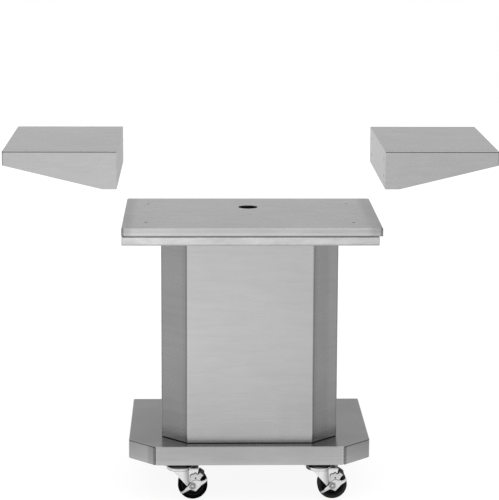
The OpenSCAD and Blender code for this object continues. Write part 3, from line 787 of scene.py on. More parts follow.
@dataclass(frozen=True)
class BrushedSheet(Finish):
    """Brushed stainless sheet: level scratches, faint smears, soft patches, a satin gloss and bands of painted
    highlight and shade.
    """

    across: float = 900.0
    along: float = 9.0
    grain_depth: float = 0.000014
    cloud_scale: float = 5.0
    cloud_depth: float = 0.05
    smear_across: float = 60.0
    smear_along: float = 8.0
    smear_depth: float = 0.022
    painted_light_bands: tuple[PaintedLightBand, ...] = ()

    def surface(self, graph: Graph, shader: bpy.types.Node) -> None:
        """Links scratches, smears, patches and the bands of painted highlight and shade to colour, roughness and
        normal.

        Args:
            graph: The material's graph.
            shader: Its shader.
        """
        grain = BRUSHING.on(graph, Across=self.across, Along=self.along)
        cloud = CLOUDING.on(graph, Scale=self.cloud_scale)
        smear = SMEARING.on(graph, Across=self.smear_across, Along=self.smear_along)
        shade = graph.math("ADD", graph.math("MULTIPLY", grain, 0.5), graph.math("MULTIPLY", cloud, 0.5))
        colour = self.mixed(graph, shade, 1 - self.cloud_depth, 1 + self.cloud_depth)
        colour = graph.scaled(colour, graph.math("ADD", 1.0, graph.math("MULTIPLY", smear, self.smear_depth)))
        here, facing = graph.axes(), graph.axes("Normal")
        # Painted highlight and shade: each band lightens or darkens the colour beside a fold.
        for band in self.painted_light_bands:
            colour = graph.scaled(colour, band.level(graph, here, facing))
        rough = graph.math("ADD", graph.ramp(grain, 0.0, 1.0, -0.03, 0.04), graph.ramp(cloud, 0.0, 1.0, -0.02, 0.03))
        shader.inputs["Metallic"].default_value = 1.0
        dress(graph, shader, colour, graph.math("ADD", rough, self.roughness), grain, self.grain_depth)


@dataclass(frozen=True)
class Grained(Finish):
    """Even fine grain under soft patches."""

    stipple_scale: float = 900.0
    stipple_depth: float = 0.00001
    cloud_scale: float = 40.0

    def grained(self, graph: Graph, shader: bpy.types.Node, shares: Point2, spread: Point2) -> None:
        """Links grain and patches to colour, roughness and normal.

        Args:
            graph: The material's graph.
            shader: Its shader.
            shares: Shares of the tone, beside the patches and on them.
            spread: What is added to the roughness, beside the patches and on them.
        """
        grain = STIPPLE.on(graph, Scale=self.stipple_scale)
        cloud = CLOUDING.on(graph, Scale=self.cloud_scale)
        rough = graph.ramp(cloud, 0.0, 1.0, self.roughness + spread[0], self.roughness + spread[1])
        dress(graph, shader, self.mixed(graph, cloud, *shares), rough, grain, self.stipple_depth)


@dataclass(frozen=True)
class PlatedSteel(Grained):
    """Plated steel: even fine grain, faint streaky patches and a bright gloss."""

    cloud_depth: float = 0.08

    def surface(self, graph: Graph, shader: bpy.types.Node) -> None:
        """Links the effects to a metal."""
        shader.inputs["Metallic"].default_value = 1.0
        self.grained(graph, shader, (1 - self.cloud_depth, 1 + self.cloud_depth), (-0.04, 0.06))


@dataclass(frozen=True)
class CreaseShadedPlating(PlatedSteel):
    """Plated steel with painted shade that darkens it towards the pressed crease in each fork leg."""

    broad: float = 15.0
    narrow: float = 3.6
    crease_shade: float = 0.42

    def mixed(self, graph: Graph, factor: Socket, low: float, high: float) -> Socket:
        """Colour between two shares of the tone, darkened by painted shade beside the crease of every caster's fork.

        Args:
            graph: The material's graph.
            factor: Place between the two, from 0 to 1.
            low: Share at 0.
            high: Share at 1.

        Returns:
            The colour.
        """
        here = graph.axes()
        half = CASTER_X * MM
        across = graph.math("WRAP", graph.math("ADD", here["X"], half), half * 1.5, -half * 0.5)
        lean = graph.math("MULTIPLY", graph.math("SUBTRACT", CREASE_TOP[1] * MM, here["Z"]), CREASE_LEAN)
        off = graph.math("SUBTRACT", graph.math("SUBTRACT", across, CREASE_TOP[0] * MM), lean)
        # Painted shade: the colour darkens to the crease, broadly on its left and narrowly on its right.
        left = graph.ramp(off, -self.broad * MM, 0.0, 1.0, self.crease_shade)
        right = graph.ramp(off, 0.0, self.narrow * MM, self.crease_shade, 1.0)
        return graph.scaled(super().mixed(graph, factor, low, high), graph.math("MAXIMUM", left, right))


@dataclass(frozen=True)
class Moulded(Grained):
    """Moulded rubber or plastic: fine grain with dusty patches."""

    stipple_scale: float = 1400.0
    stipple_depth: float = 0.00004
    cloud_scale: float = 60.0
    dust: float = 1.5
    shine: float = 0.2

    def surface(self, graph: Graph, shader: bpy.types.Node) -> None:
        """Links the effects to a dull plastic."""
        shader.inputs["Specular IOR Level"].default_value = self.shine
        self.grained(graph, shader, (1.0, self.dust), (-0.06, 0.06))


# Column bands: painted highlight and shade lines along the bends beside the front face, painted shade at the rear bends
# of the clipped corners, the outer part of the right clipped corner lighter as painted light, the clipped corners and
# walls darker towards the foot as painted shade, and a painted dark shadow line at the foot.
COLUMN_SHEET = BrushedSheet(
    "column sheet", "stainless", 0.62, 0.24, cloud_scale=7.0, cloud_depth=0.07,
    painted_light_bands=(PaintedLightBand("X", 156.6, 2.0, 1.1), PaintedLightBand("X", 160.0, 2.4, 0.76), PaintedLightBand("X", 164.0, 6.0, 0.93),
           PaintedLightBand("X", 221.5, 3.0, 0.86, Faces.CLIPPED), PaintedLightBand("X", 216.0, 24.0, 1.1, Faces.CLIPPED, one_sided=True),
           PaintedLightBand("Z", 148.0, 84.0, 0.9, Faces.CLIPPED), PaintedLightBand("Z", 150.0, 22.0, 0.92, Faces.WALLS),
           PaintedLightBand("Z", 148.0, 28.0, 0.79, Faces.CLIPPED), PaintedLightBand("Z", 147.6, 3.0, 0.16, Faces.WALLS)))
# Base bands: a painted shade line along the top bend of the clipped aprons, painted shade lines at the folds into both
# clipped aprons and beside the left one, the left clipped apron lighter as painted light, a painted highlight on the
# front apron beside its folds, and a painted shadow on the top in front of the column.
BASE_SHEET = BrushedSheet(
    "base sheet", "stainless", 0.60, 0.22, cloud_depth=0.07,
    painted_light_bands=(PaintedLightBand("Z", 146.2, 2.1, 0.42, Faces.CLIPPED), PaintedLightBand("X", -240.0, 4.4, 0.62, Faces.CLIPPED, one_sided=True),
           PaintedLightBand("X", -246.0, 14.0, 0.8, Faces.CLIPPED, one_sided=True),
           PaintedLightBand("X", -290.0, 66.0, 1.14, Faces.CLIPPED, one_sided=True),
           PaintedLightBand("X", 240.0, 4.4, 0.6, Faces.CLIPPED, one_sided=True), PaintedLightBand("X", 235.4, 3.0, 1.22, Faces.WALLS),
           PaintedLightBand("Y", -195.0, 110.0, 0.59, Faces.TOPS, one_sided=True, reach=220.0)))
# Deck pan bands: painted shade at both rounded ends, a painted dark shadow line along the lower edge, a painted
# highlight along the lower strip of its wall, painted shade on the wall's upper part, and the left end of the wall
# lighter as painted light.
DECK_PAN_SHEET = BrushedSheet(
    "deck pan sheet", "stainless", 0.68, 0.26, along=14.0, cloud_scale=9.0, cloud_depth=0.08, smear_depth=0.045,
    painted_light_bands=(PaintedLightBand("X", 322.0, 34.0, 0.8), PaintedLightBand("Z", 684.2, 2.4, 0.74), PaintedLightBand("Z", 689.0, 3.6, 1.06, Faces.WALLS),
           PaintedLightBand("Z", 698.0, 7.0, 0.95, Faces.WALLS), PaintedLightBand("X", -270.0, 90.0, 1.05, Faces.WALLS, one_sided=True)))
# Deck tray band: a painted shadow line along its lower edge.
DECK_TRAY_SHEET = BrushedSheet(
    "deck tray sheet", "stainless", 0.77, 0.26, along=14.0, cloud_scale=12.0, cloud_depth=0.13, smear_along=16.0,
    smear_depth=0.1, painted_light_bands=(PaintedLightBand("Z", 661.2, 3.4, 0.74, Faces.WALLS),))
# Shelf bands: a painted dark shadow line under the top's front bend, and painted shade on the top near its front edge.
SHELF_SHEET = BrushedSheet(
    "shelf sheet", "stainless", 0.618, 0.26, along=6.0, cloud_scale=8.0, cloud_depth=0.09, smear_across=45.0,
    smear_depth=0.036,
    painted_light_bands=(PaintedLightBand("Z", 894.6, 2.4, 0.3, Faces.WALLS), PaintedLightBand("Y", -212.0, 9.0, 0.92, Faces.TOPS, one_sided=True)))
DOOR_SHEET = BrushedSheet("door sheet", "stainless", 0.60, 0.25)
MILL_SHEET = BrushedSheet("mill sheet", "stainless_inner", 0.52, 0.33, across=500.0, along=20.0)
BAR_STEEL = BrushedSheet("bar steel", "stainless_bright", 0.66, 0.2, across=1500.0)
ZINC = PlatedSteel("zinc plate", "zinc", 0.5, 0.26)
# The fork's plating carries painted shade along each leg's crease.
FORK_ZINC = CreaseShadedPlating("fork zinc", "zinc", 0.84, 0.2)
BRAKE_ZINC = PlatedSteel("brake plate zinc", "zinc", 0.64, 0.2, cloud_depth=0.1)
LEVER_ZINC = PlatedSteel("lever zinc", "zinc", 0.74, 0.2, cloud_depth=0.1)
FASTENER = PlatedSteel("plated fastener", "steel_fastener", 0.7, 0.28)
# The axle bolt is a brighter copy of the plated fastener finish: its raised tone is painted light for a bright bolt
# head.
AXLE_BOLT = PlatedSteel("axle bolt zinc", "steel_fastener", 0.95, 0.34, cloud_scale=120.0)
# Near-black caster bolts: painted shade under the base.
SHADE_DARK_BOLT = PlatedSteel("black oxide bolt", "steel_fastener", 0.09, 0.34, cloud_scale=90.0, cloud_depth=0.3)
BEARING = PlatedSteel("ground steel", "bearing_steel", 0.75, 0.14)
# Near-black race: painted shade under the base.
SHADE_DARK_RACE = PlatedSteel("greased race", "bearing_steel", 0.07, 0.34, cloud_scale=90.0, cloud_depth=0.3)
# Near-black steel for the brake shoe and the sheet behind the brake plate: painted shade.
SHADE_DARK_STEEL = PlatedSteel("phosphate coat", "bearing_steel", 0.1, 0.4, cloud_scale=150.0, cloud_depth=0.5)
WASHER = Moulded("washer plastic", "core_plastic", 0.24, 0.45, shine=0.3)
RUBBER = Moulded("tyre rubber", "rubber", 0.0015, 0.65, shine=0.02)
RUBBER_PALER = Moulded("dusty tyre rubber", "rubber", 0.016, 0.6, shine=0.15)
CORE = Moulded("core plastic", "core_plastic", 0.006, 0.42, stipple_scale=700.0, shine=0.1)
CATCH = Moulded("catch plastic", "catch_plastic", 0.03, 0.45, shine=0.4)


# Pieces


def linked(name: str, data: bpy.types.ID) -> bpy.types.Object:
    """Makes an object and links it to the scene.

    Args:
        name: Its name.
        data: Its mesh, camera or light.

    Returns:
        The object.
    """
    made = bpy.data.objects.new(name, data)
    bpy.context.scene.collection.objects.link(made)
    return made


def settle(made: bpy.types.Object) -> None:
    """Turns an object's modifiers into its plain mesh.

    Args:
        made: The object.
    """
    graph = bpy.context.evaluated_depsgraph_get()
    mesh = bpy.data.meshes.new_from_object(made.evaluated_get(graph), depsgraph=graph)
    made.modifiers.clear()
    old = made.data
    made.data = mesh
    mesh.name = made.name
    bpy.data.meshes.remove(old)


def soften(made: bpy.types.Object, edge: float) -> None:
    """Rounds a piece's sharp edges to a width in millimetres.

    Args:
        made: The piece.
        edge: Width of the rounding.
    """
    bevel = made.modifiers.new("edge", "BEVEL")
    bevel.width = edge * MM
    bevel.segments = EDGE_STEPS
    bevel.limit_method = "ANGLE"
    bevel.angle_limit = SOFTENED_FROM
    settle(made)


def smooth(made: bpy.types.Object) -> None:
    """Shades a piece smooth, with flat faces kept flat by weighted normals.

    Args:
        made: The piece.
    """
    made.data.shade_smooth()
    made.data.set_sharp_from_angle(angle=SHARP_FROM)
    weight = made.modifiers.new("weight", "WEIGHTED_NORMAL")
    weight.keep_sharp = True
    weight.weight = 100
    settle(made)


class Assembly:
    """Sub-assembly whose pieces ride on bodies of the frame."""

    def put(self, name: str, shape: Shape | bpy.types.Mesh, finish: Finish, nodes: Sequence[str] = (),
            body: str = PEDESTAL, edge: float = 0.0) -> None:
        """Makes a piece and puts it on its body.

        Args:
            name: The piece's name.
            shape: Its shape, or its mesh in metres.
            finish: Its finish.
            nodes: CAD nodes that it stands for.
            body: Body of the frame that it moves with.
            edge: Width of the softened edges in millimetres, or 0 where the shape has them.
        """
        mesh = shape.mesh(name) if isinstance(shape, Shape) else shape
        made = linked(name, mesh)
        mesh.materials.clear()
        mesh.materials.append(finish.material())
        if edge:
            soften(made, edge)
        smooth(made)
        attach(made, body)
        if nodes:
            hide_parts(*nodes)
        LOG.info("%s: %d faces on %s", name, len(made.data.polygons), body)

    def softened(self, node: str, finish: Finish, body: str = PEDESTAL, edge: float = 0.3) -> None:
        """Stands a copy of a CAD node with softened edges in for the node.

        Args:
            node: The node's name.
            finish: Its finish.
            body: Body of the frame that it moves with.
            edge: Width of the softened edges in millimetres.
        """
        work = bmesh.new()
        work.from_mesh(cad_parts[node].data)
        bmesh.ops.remove_doubles(work, verts=work.verts, dist=0.000005)
        bmesh.ops.dissolve_limit(work, angle_limit=math.radians(1), verts=work.verts, edges=work.edges)
        mesh = bpy.data.meshes.new(node + "_soft")
        work.to_mesh(mesh)
        work.free()
        self.put(node + "_soft", mesh, finish, [node], body, edge)


def tree_input(modifier: bpy.types.Modifier, name: str, value: object) -> None:
    """Sets a geometry tree's input through its socket's identifier."""
    for item in modifier.node_group.interface.items_tree:
        if item.item_type == "SOCKET" and item.in_out == "INPUT" and item.name == name:
            modifier[item.identifier] = value
            return
    raise KeyError(name)


def geometry_tree(name: str, sizes: dict[str, float], fill: Callable[[Graph, Sockets], Socket]) -> bpy.types.NodeTree:
    """Makes a geometry tree that ends in Realize Instances and Set Material, once.

    Args:
        name: Its name.
        sizes: Its inputs with default values, lengths in millimetres and counts as whole numbers.
        fill: Adds the nodes and returns the geometry to finish.

    Returns:
        The tree.
    """
    if name in bpy.data.node_groups:
        return bpy.data.node_groups[name]
    tree = bpy.data.node_groups.new(name, "GeometryNodeTree")
    tree.interface.new_socket("Points", in_out="INPUT", socket_type="NodeSocketGeometry")
    for key, value in sizes.items():
        kind = "NodeSocketInt" if isinstance(value, int) else "NodeSocketFloat"
        tree.interface.new_socket(key, in_out="INPUT", socket_type=kind).default_value = stored(value)
    tree.interface.new_socket("Finish", in_out="INPUT", socket_type="NodeSocketMaterial")
    tree.interface.new_socket("Geometry", in_out="OUTPUT", socket_type="NodeSocketGeometry")
    graph = Graph(tree)
    given = graph.node("NodeGroupInput").outputs
    real = graph.node("GeometryNodeRealizeInstances", {"Geometry": fill(graph, given)})
    dressed = graph.node("GeometryNodeSetMaterial", {"Geometry": real.outputs[0], "Material": given["Finish"]})
    graph.node("NodeGroupOutput", {"Geometry": dressed.outputs[0]})
    return tree


def stored(value: float) -> float:
    """A length in metres; a count, which is a whole number, as it is."""
    return value if isinstance(value, int) else value * MM


def on_points(graph: Graph, points: Socket, shape: Socket) -> Socket:
    """Instances a shape on points and returns the geometry."""
    return graph.node("GeometryNodeInstanceOnPoints", {"Points": points, "Instance": shape}).outputs[0]


def transformed(graph: Graph, shape: Socket, change: str, value: Socket) -> Socket:
    """Changes a shape's Translation, Rotation or Scale."""
    return graph.node("GeometryNodeTransform", {"Geometry": shape, change: value}).outputs[0]


def cylinder(graph: Graph, sides: int, radius: Socket, depth: Socket, middle: Socket) -> Socket:
    """Upright cylinder with its middle at a height.

    Args:
        graph: The tree's graph.
        sides: Number of sides.
        radius: Its radius.
        depth: Its length.
        middle: Height of its middle.

    Returns:
        The cylinder.
    """
    inputs = {"Vertices": sides, "Radius": radius, "Depth": depth}
    shape = graph.node("GeometryNodeMeshCylinder", inputs).outputs[0]
    return transformed(graph, shape, "Translation", graph.vector(z=middle))


def fill_ball_rings(graph: Graph, given: Sockets) -> Socket:
    """A ring of balls on each point.

    Args:
        graph: The tree's graph.
        given: Its inputs.

    Returns:
        The balls.
    """
    ring = graph.node("GeometryNodeMeshCircle", {"Vertices": given["Balls"], "Radius": given["Ring Radius"]})
    half_step = graph.vector(z=graph.math("DIVIDE", math.pi, given["Balls"]))
    turned = transformed(graph, ring.outputs[0], "Rotation", half_step)
    ball = graph.node("GeometryNodeMeshUVSphere", {"Segments": 20, "Rings": 12, "Radius": given["Ball Radius"]})
    return on_points(graph, given["Points"], on_points(graph, turned, ball.outputs[0]))


def fill_bolts(graph: Graph, given: Sockets) -> Socket:
    """A bolt that stands on each point: head below it, nut over the gripped sheets.

    Args:
        graph: The tree's graph.
        given: Its inputs.

    Returns:
        The bolts.
    """
    head_r, head_h, grip, nut_h = (given[key] for key in ("Head Radius", "Head Height", "Grip", "Nut Height"))
    length = graph.math("ADD", graph.math("ADD", grip, nut_h), given["Tip"])
    nut_middle = graph.math("ADD", grip, graph.math("MULTIPLY", nut_h, 0.5))
    bolt = graph.node("GeometryNodeJoinGeometry")
    for sides, radius, depth, middle in (
            (6, head_r, head_h, graph.math("MULTIPLY", head_h, -0.5)),
            (6, head_r, nut_h, nut_middle),
            (24, given["Shank Radius"], length, graph.math("MULTIPLY", length, 0.5)),
    ):
        graph.tree.links.new(cylinder(graph, sides, radius, depth, middle), bolt.inputs[0])
    return on_points(graph, given["Points"], bolt.outputs[0])


def fill_rivets(graph: Graph, given: Sockets) -> Socket:
    """A column of low domes that starts on each point and faces sideways.

    Args:
        graph: The tree's graph.
        given: Its inputs.

    Returns:
        The domes.
    """
    dome = graph.node("GeometryNodeMeshUVSphere", {"Segments": 24, "Rings": 12, "Radius": given["Head Radius"]})
    squeeze = graph.vector(graph.math("DIVIDE", given["Head Height"], given["Head Radius"]), 1.0, 1.0)
    low = transformed(graph, dome.outputs[0], "Scale", squeeze)
    step = graph.vector(z=given["Pitch"])
    line = graph.node("GeometryNodeMeshLine", {"Count": given["Rivets"], "Offset": step})
    return on_points(graph, given["Points"], on_points(graph, line.outputs[0], low))


class Repeats(Assembly):
    """Sub-assembly with pieces that a geometry tree repeats."""

    def grow(self, name: str, tree: bpy.types.NodeTree, points: Sequence[Point3], sizes: dict[str, float],
             finish: Finish, node: str, edge: float = 0.0) -> None:
        """Makes a piece with a geometry tree on a set of points.

        Args:
            name: The piece's name.
            tree: Geometry tree.
            points: Places in millimetres.
            sizes: The tree's inputs, lengths in millimetres and counts as whole numbers.
            finish: Its finish.
            node: CAD node that it stands for.
            edge: Width of its softened edges in millimetres.
        """
        mesh = bpy.data.meshes.new(name)
        mesh.from_pydata([(x * MM, y * MM, z * MM) for x, y, z in points], [], [])
        carrier = linked(name + "_points", mesh)
        grown = carrier.modifiers.new("repeat", "NODES")
        grown.node_group = tree
        for key, value in sizes.items():
            tree_input(grown, key, stored(value))
        tree_input(grown, "Finish", finish.material())
        settle(carrier)
        result = carrier.data
        bpy.data.objects.remove(carrier)
        self.put(name, result, finish, [node], edge=edge)


@dataclass(frozen=True)
class Bolt:
    """Hexagon bolt with its nut; grip is the thickness of the gripped sheets, tip what sticks out of the nut."""

    grip: float
    tip: float
    shank_radius: float = 3.0
    head_radius: float = 5.5
    head_height: float = 3.85
    nut_height: float = 4.6

    def sizes(self) -> dict[str, float]:
        """Inputs of the bolts' geometry tree."""
        return {"Shank Radius": self.shank_radius, "Head Radius": self.head_radius, "Head Height": self.head_height,
                "Grip": self.grip, "Nut Height": self.nut_height, "Tip": self.tip}

    def tree(self) -> bpy.types.NodeTree:
        """The bolts' geometry tree."""
        return geometry_tree("bolts", self.sizes(), fill_bolts)


@dataclass
class Base(Assembly):
    """Base pan, caster rails and cylinder ring."""

    width: float = 612.0
    depth: float = 465.0
    chamfer: float = 69.0
    low: float = 100.0
    top: float = 148.0
    sheet: float = 1.5
    bend: float = 2.0
    seam_width: float = 2.5
    seam_depth: float = 4.5
    seam_end: float = 0.2
    ring_radius: float = 105.0
    ring_foot: float = 15.0
    ring_height: float = 25.0
    ring_bend: float = 3.0
    ring_rim: float = 0.4
    vent_width: float = 14.0
    vent_length: float = 50.0
    vent_step: float = 80.0
    middle_y: float = -9.0

    def outline(self, amount: float, seam: bool) -> Loop:
        """Outline drawn in by an amount, with a notch at each corner where the aprons meet.

        Args:
            amount: Distance inwards.
            seam: Whether the notches are cut.

        Returns:
            The outline.
        """
        x, y = self.width / 2 - amount, self.depth / 2 - amount
        clip = self.chamfer - amount * (2 - math.sqrt(2))
        corners = [(-x, y), (-x, -y + clip), (-x + clip, -y), (x - clip, -y), (x, -y + clip), (x, y)]
        drawn_in = inset(corners, self.seam_depth if seam else 0.0)
        mouth, bottom_half = self.seam_width + amount * 0.8, self.seam_width * 0.15 + amount * 0.8
        result: Loop = []
        for index, (corner, floor) in enumerate(zip(corners, drawn_in)):
            here, bottom = Vector(corner), Vector(floor)
            before = (Vector(corners[index - 1]) - here).normalized()
            after = (Vector(corners[(index + 1) % len(corners)]) - here).normalized()
            for point in (here + before * mouth, bottom + before * bottom_half, bottom + after * bottom_half,
                          here + after * mouth):
                result.append((point.x, point.y))
        return result

    def pan(self) -> Shape:
        """Folded base pan with vents in the cylinder bay's floor."""
        outer, inner = folded(lambda amount: self.outline(amount, False), self.low, self.top, self.sheet, self.bend)
        seam_top = self.top - self.bend - self.seam_end
        for rows, amount in ((outer, 0.0), (inner, self.sheet)):
            notched = self.outline(amount, True)
            rows[:1] = [at(notched, self.low), at(notched, seam_top)]
        aside = self.ring_radius + self.ring_foot + self.vent_width
        vents = [slot_hole((side * aside, self.middle_y + k * self.vent_step), self.vent_width, self.vent_length)
                 for side in (-1, 1) for k in (-1, 0, 1)]
        return Shape().sheet(Plane.FLOOR, outer, inner, holes=vents)

    def ring(self) -> Shape:
        """Ring around the gas cylinder's foot, flanged at the bottom."""
        inside, bend, rim = self.ring_radius, self.ring_bend, self.ring_rim
        outside, foot, crest = inside + self.sheet, self.top + self.sheet, self.top + self.ring_height
        profile = [(inside, self.top), (inside + self.ring_foot, self.top), (inside + self.ring_foot, foot),
                   (outside + bend, foot)]
        profile += [(outside + bend * (1 - sine), foot + bend * (1 - cosine)) for sine, cosine in quarter(4)[1:]]
        profile += [(outside, crest - rim), (outside - rim, crest), (inside + rim, crest), (inside, crest - rim)]
        return Shape().lathe(Plane.FLOOR, (0.0, self.middle_y), profile, 96)

    def build(self) -> None:
        """Makes the base's pieces."""
        self.put("base_pan_sheet", self.pan(), BASE_SHEET, ["base_pan"])
        self.put("cylinder_ring_sheet", self.ring(), MILL_SHEET, ["cylinder_ring"])
        for node in ("front_caster_rail", "rear_caster_rail"):
            self.softened(node, MILL_SHEET)


@dataclass
class Column(Repeats):
    """Column panels, the rear face frame, bolts and rivets."""

    half: float = 223.0
    front: float = -200.5
    rear: float = 182.5
    chamfer: float = 65.0
    low: float = 148.0
    top: float = 660.0
    sheet: float = 1.2
    lap: float = 16.0
    joggle: float = 2.0
    flange: float = 25.0
    rear_return: float = 30.0
    bend: float = 3.0
    foot_bend: float = 3.0
    foot_turn: float = 2.0
    rivets: int = 6
    rivet_radius: float = 3.6
    rivet_height: float = 0.45
    bolt_x: float = 90.0
    bolt_step: float = 75.0

    def flanges(self, shape: Shape, low: Point2, high: Point2) -> Shape:
        """Adds the flat flanges at a panel's foot and head.

        Args:
            shape: The panel's wall.
            low: Front left corner of the flanges.
            high: Rear right corner.

        Returns:
            The shape with its flanges.
        """
        outline = [low, (high[0], low[1]), high, (low[0], high[1])]
        for z in (self.low, self.top - self.sheet):
            shape.plate(Plane.FLOOR, outline, z, z + self.sheet)
        return shape

    def wall(self, path: Loop) -> Shape:
        """Wall along an open path, turned in at its foot.

        Args:
            path: Corners of the outer face, with the inside on the left.

        Returns:
            The wall.
        """
        def row(amount: float, height: float) -> Row:
            """Row on a skin of the wall, drawn in by an amount."""
            drawn = rounded(ribbon(path, amount)[len(path):][::-1], max(0.2, self.bend - amount / 2), closed=False)
            return at(drawn, height)

        foot = self.foot_bend + self.foot_turn
        section = [((foot, self.low), (foot, self.low + self.sheet)), *fold(self.low, 1, self.sheet, self.foot_bend),
                   ((0.0, self.top), (self.sheet, self.top))]
        return Shape().sheet(Plane.FLOOR, *skins(row, section), around=False, capped=False)

    def front_panel(self) -> Shape:
        """Panel folded around the front and both clipped corners."""
        bend_y, lap_y = self.front + self.chamfer, self.front + self.chamfer + self.lap
        face = self.half - self.chamfer
        path = [(-self.half, lap_y), (-self.half, bend_y), (-face, self.front), (face, self.front),
                (self.half, bend_y), (self.half, lap_y)]
        return self.flanges(self.wall(path), (-face, self.front + self.foot_bend),
                            (face, self.front + self.sheet + self.flange))

    def side_panel(self) -> Shape:
        """Right side panel, joggled behind the front panel's lap and returned at the rear."""
        lap_y = self.front + self.chamfer + self.lap
        behind = self.half - self.sheet
        path = [(behind, lap_y - self.lap + self.sheet), (behind, lap_y - self.joggle), (self.half, lap_y + 0.1),
                (self.half, self.rear), (self.half - self.rear_return, self.rear)]
        return self.flanges(self.wall(path), (behind - self.flange, lap_y + self.flange),
                            (self.half - self.foot_bend, self.rear - self.rear_return))

    def bolt_places(self, height: float) -> Row:
        """Bolt places on the front panel's flange and on the side panels' flanges.

        Args:
            height: Height of the places.

        Returns:
            The places.
        """
        front_y = self.front + self.sheet + self.flange / 2
        side_x = self.half - self.sheet - self.flange / 2
        middle = (self.front + self.rear) / 2
        places = [(side * self.bolt_x, front_y, height) for side in (-1, 1)]
        return places + [(side * side_x, middle + k * self.bolt_step, height) for side in (-1, 1) for k in (0, 1)]

    def build(self) -> None:
        """Makes the column's pieces."""
        self.put("column_front_panel", self.front_panel(), COLUMN_SHEET, ["column_front"])
        self.put("column_right_panel", self.side_panel(), COLUMN_SHEET, ["column_right_side"])
        self.put("column_left_panel", self.side_panel().mirrored(), COLUMN_SHEET, ["column_left_side"])
        self.softened("column_rear_frame", MILL_SHEET)
        bolt = Bolt(grip=3.2, tip=0.6)
        places = self.bolt_places(self.low - Base.sheet) + self.bolt_places(self.top - self.sheet)
        self.grow("column_bolt_set", bolt.tree(), places, bolt.sizes(), FASTENER, "column_bolts", edge=0.4)
        pitch = (self.top - self.low) / self.rivets
        lap_y = self.front + self.chamfer + self.lap / 2
        starts = [(side * self.half, lap_y, self.low + pitch / 2) for side in (-1, 1)]
        sizes = {"Head Radius": self.rivet_radius, "Head Height": self.rivet_height, "Pitch": pitch,
                 "Rivets": self.rivets}
        tree = geometry_tree("rivets", sizes, fill_rivets)
        self.grow("column_rivet_set", tree, starts, sizes, BAR_STEEL, "column_rivets")


@dataclass
class Door(Assembly):
    """Rear door with its pull, hinges, catch and strike."""

    width: float = 400.0
    low: float = 160.0
    high: float = 648.0
    inside: float = 182.9
    outside: float = 200.9
    sheet: float = 1.0
    bend: float = 2.0
    corner: float = 2.6
    vents: int = 7
    vent_length: float = 32.0
    vent_height: float = 5.0
    vent_inset: float = 45.0
    pull_x: float = 165.0
    pull_length: float = 140.0
    pull_radius: float = 5.0
    pull_reach: float = 24.0
    post_inset: float = 15.0
    foot_height: float = 2.0

    def outline(self, amount: float) -> Loop:
        """Outline drawn in by an amount."""
        return rectangle(self.width - 2 * amount, self.high - self.low - 2 * amount, self.corner - amount,
                         centre=(0.0, (self.low + self.high) / 2))

    def panel(self) -> Shape:
        """Folded door panel with two rows of vent slots."""
        outer, inner = folded(self.outline, self.inside, self.outside, self.sheet, self.bend)
        pitch = (self.width - 2 * self.vent_length) / self.vents
        slots = [slot_hole(((k - (self.vents - 1) / 2) * pitch, z), self.vent_length, self.vent_height)
                 for k in range(self.vents) for z in (self.low + self.vent_inset, self.high - self.vent_inset)]
        return Shape().sheet(Plane.FRONT, outer, inner, holes=slots)

    def pull(self) -> Shape:
        """Bar pull with round ends on two posts."""
        middle, half = (self.low + self.high) / 2, self.pull_length / 2
        radius, dome = self.pull_radius, self.pull_radius * 0.6
        ends = [(radius * math.cos(a), dome * math.sin(a)) for a in (0.0, 0.5, 1.0, 1.3)]
        profile = [(0.0, middle - half)]
        profile += [(r, middle - half + dome - h) for r, h in reversed(ends)]
        profile += [(r, middle + half - dome + h) for r, h in ends]
        profile += [(0.0, middle + half)]
        bar_y = self.outside + self.pull_reach
        shape = Shape().lathe(Plane.FLOOR, (self.pull_x, bar_y), profile, 32)
        foot, post, seat = radius + 3, radius - 1, self.outside + self.foot_height
        stem = [(0.0, self.outside), (foot, self.outside), (foot, seat - 0.6), (foot - 0.6, seat), (post + 0.8, seat),
                (post, seat + 0.8), (post, bar_y), (0.0, bar_y)]
        for side in (-1, 1):
            shape.lathe(Plane.FRONT, (self.pull_x, middle + side * (half - self.post_inset)), stem, 32)
        return shape

    def build(self) -> None:
        """Makes the door's pieces."""
        self.put("rear_door_panel", self.panel(), DOOR_SHEET, ["rear_door"], "door")
        self.put("door_pull_bar", self.pull(), BAR_STEEL, ["door_pull"], "door")
        for node in ("door_hinge_leaves", "door_strike"):
            self.softened(node, BAR_STEEL, "door")
        for node in ("column_hinge_leaves", "hinge_pins"):
            self.softened(node, BAR_STEEL)
        self.softened("magnet_catch", CATCH, edge=0.6)


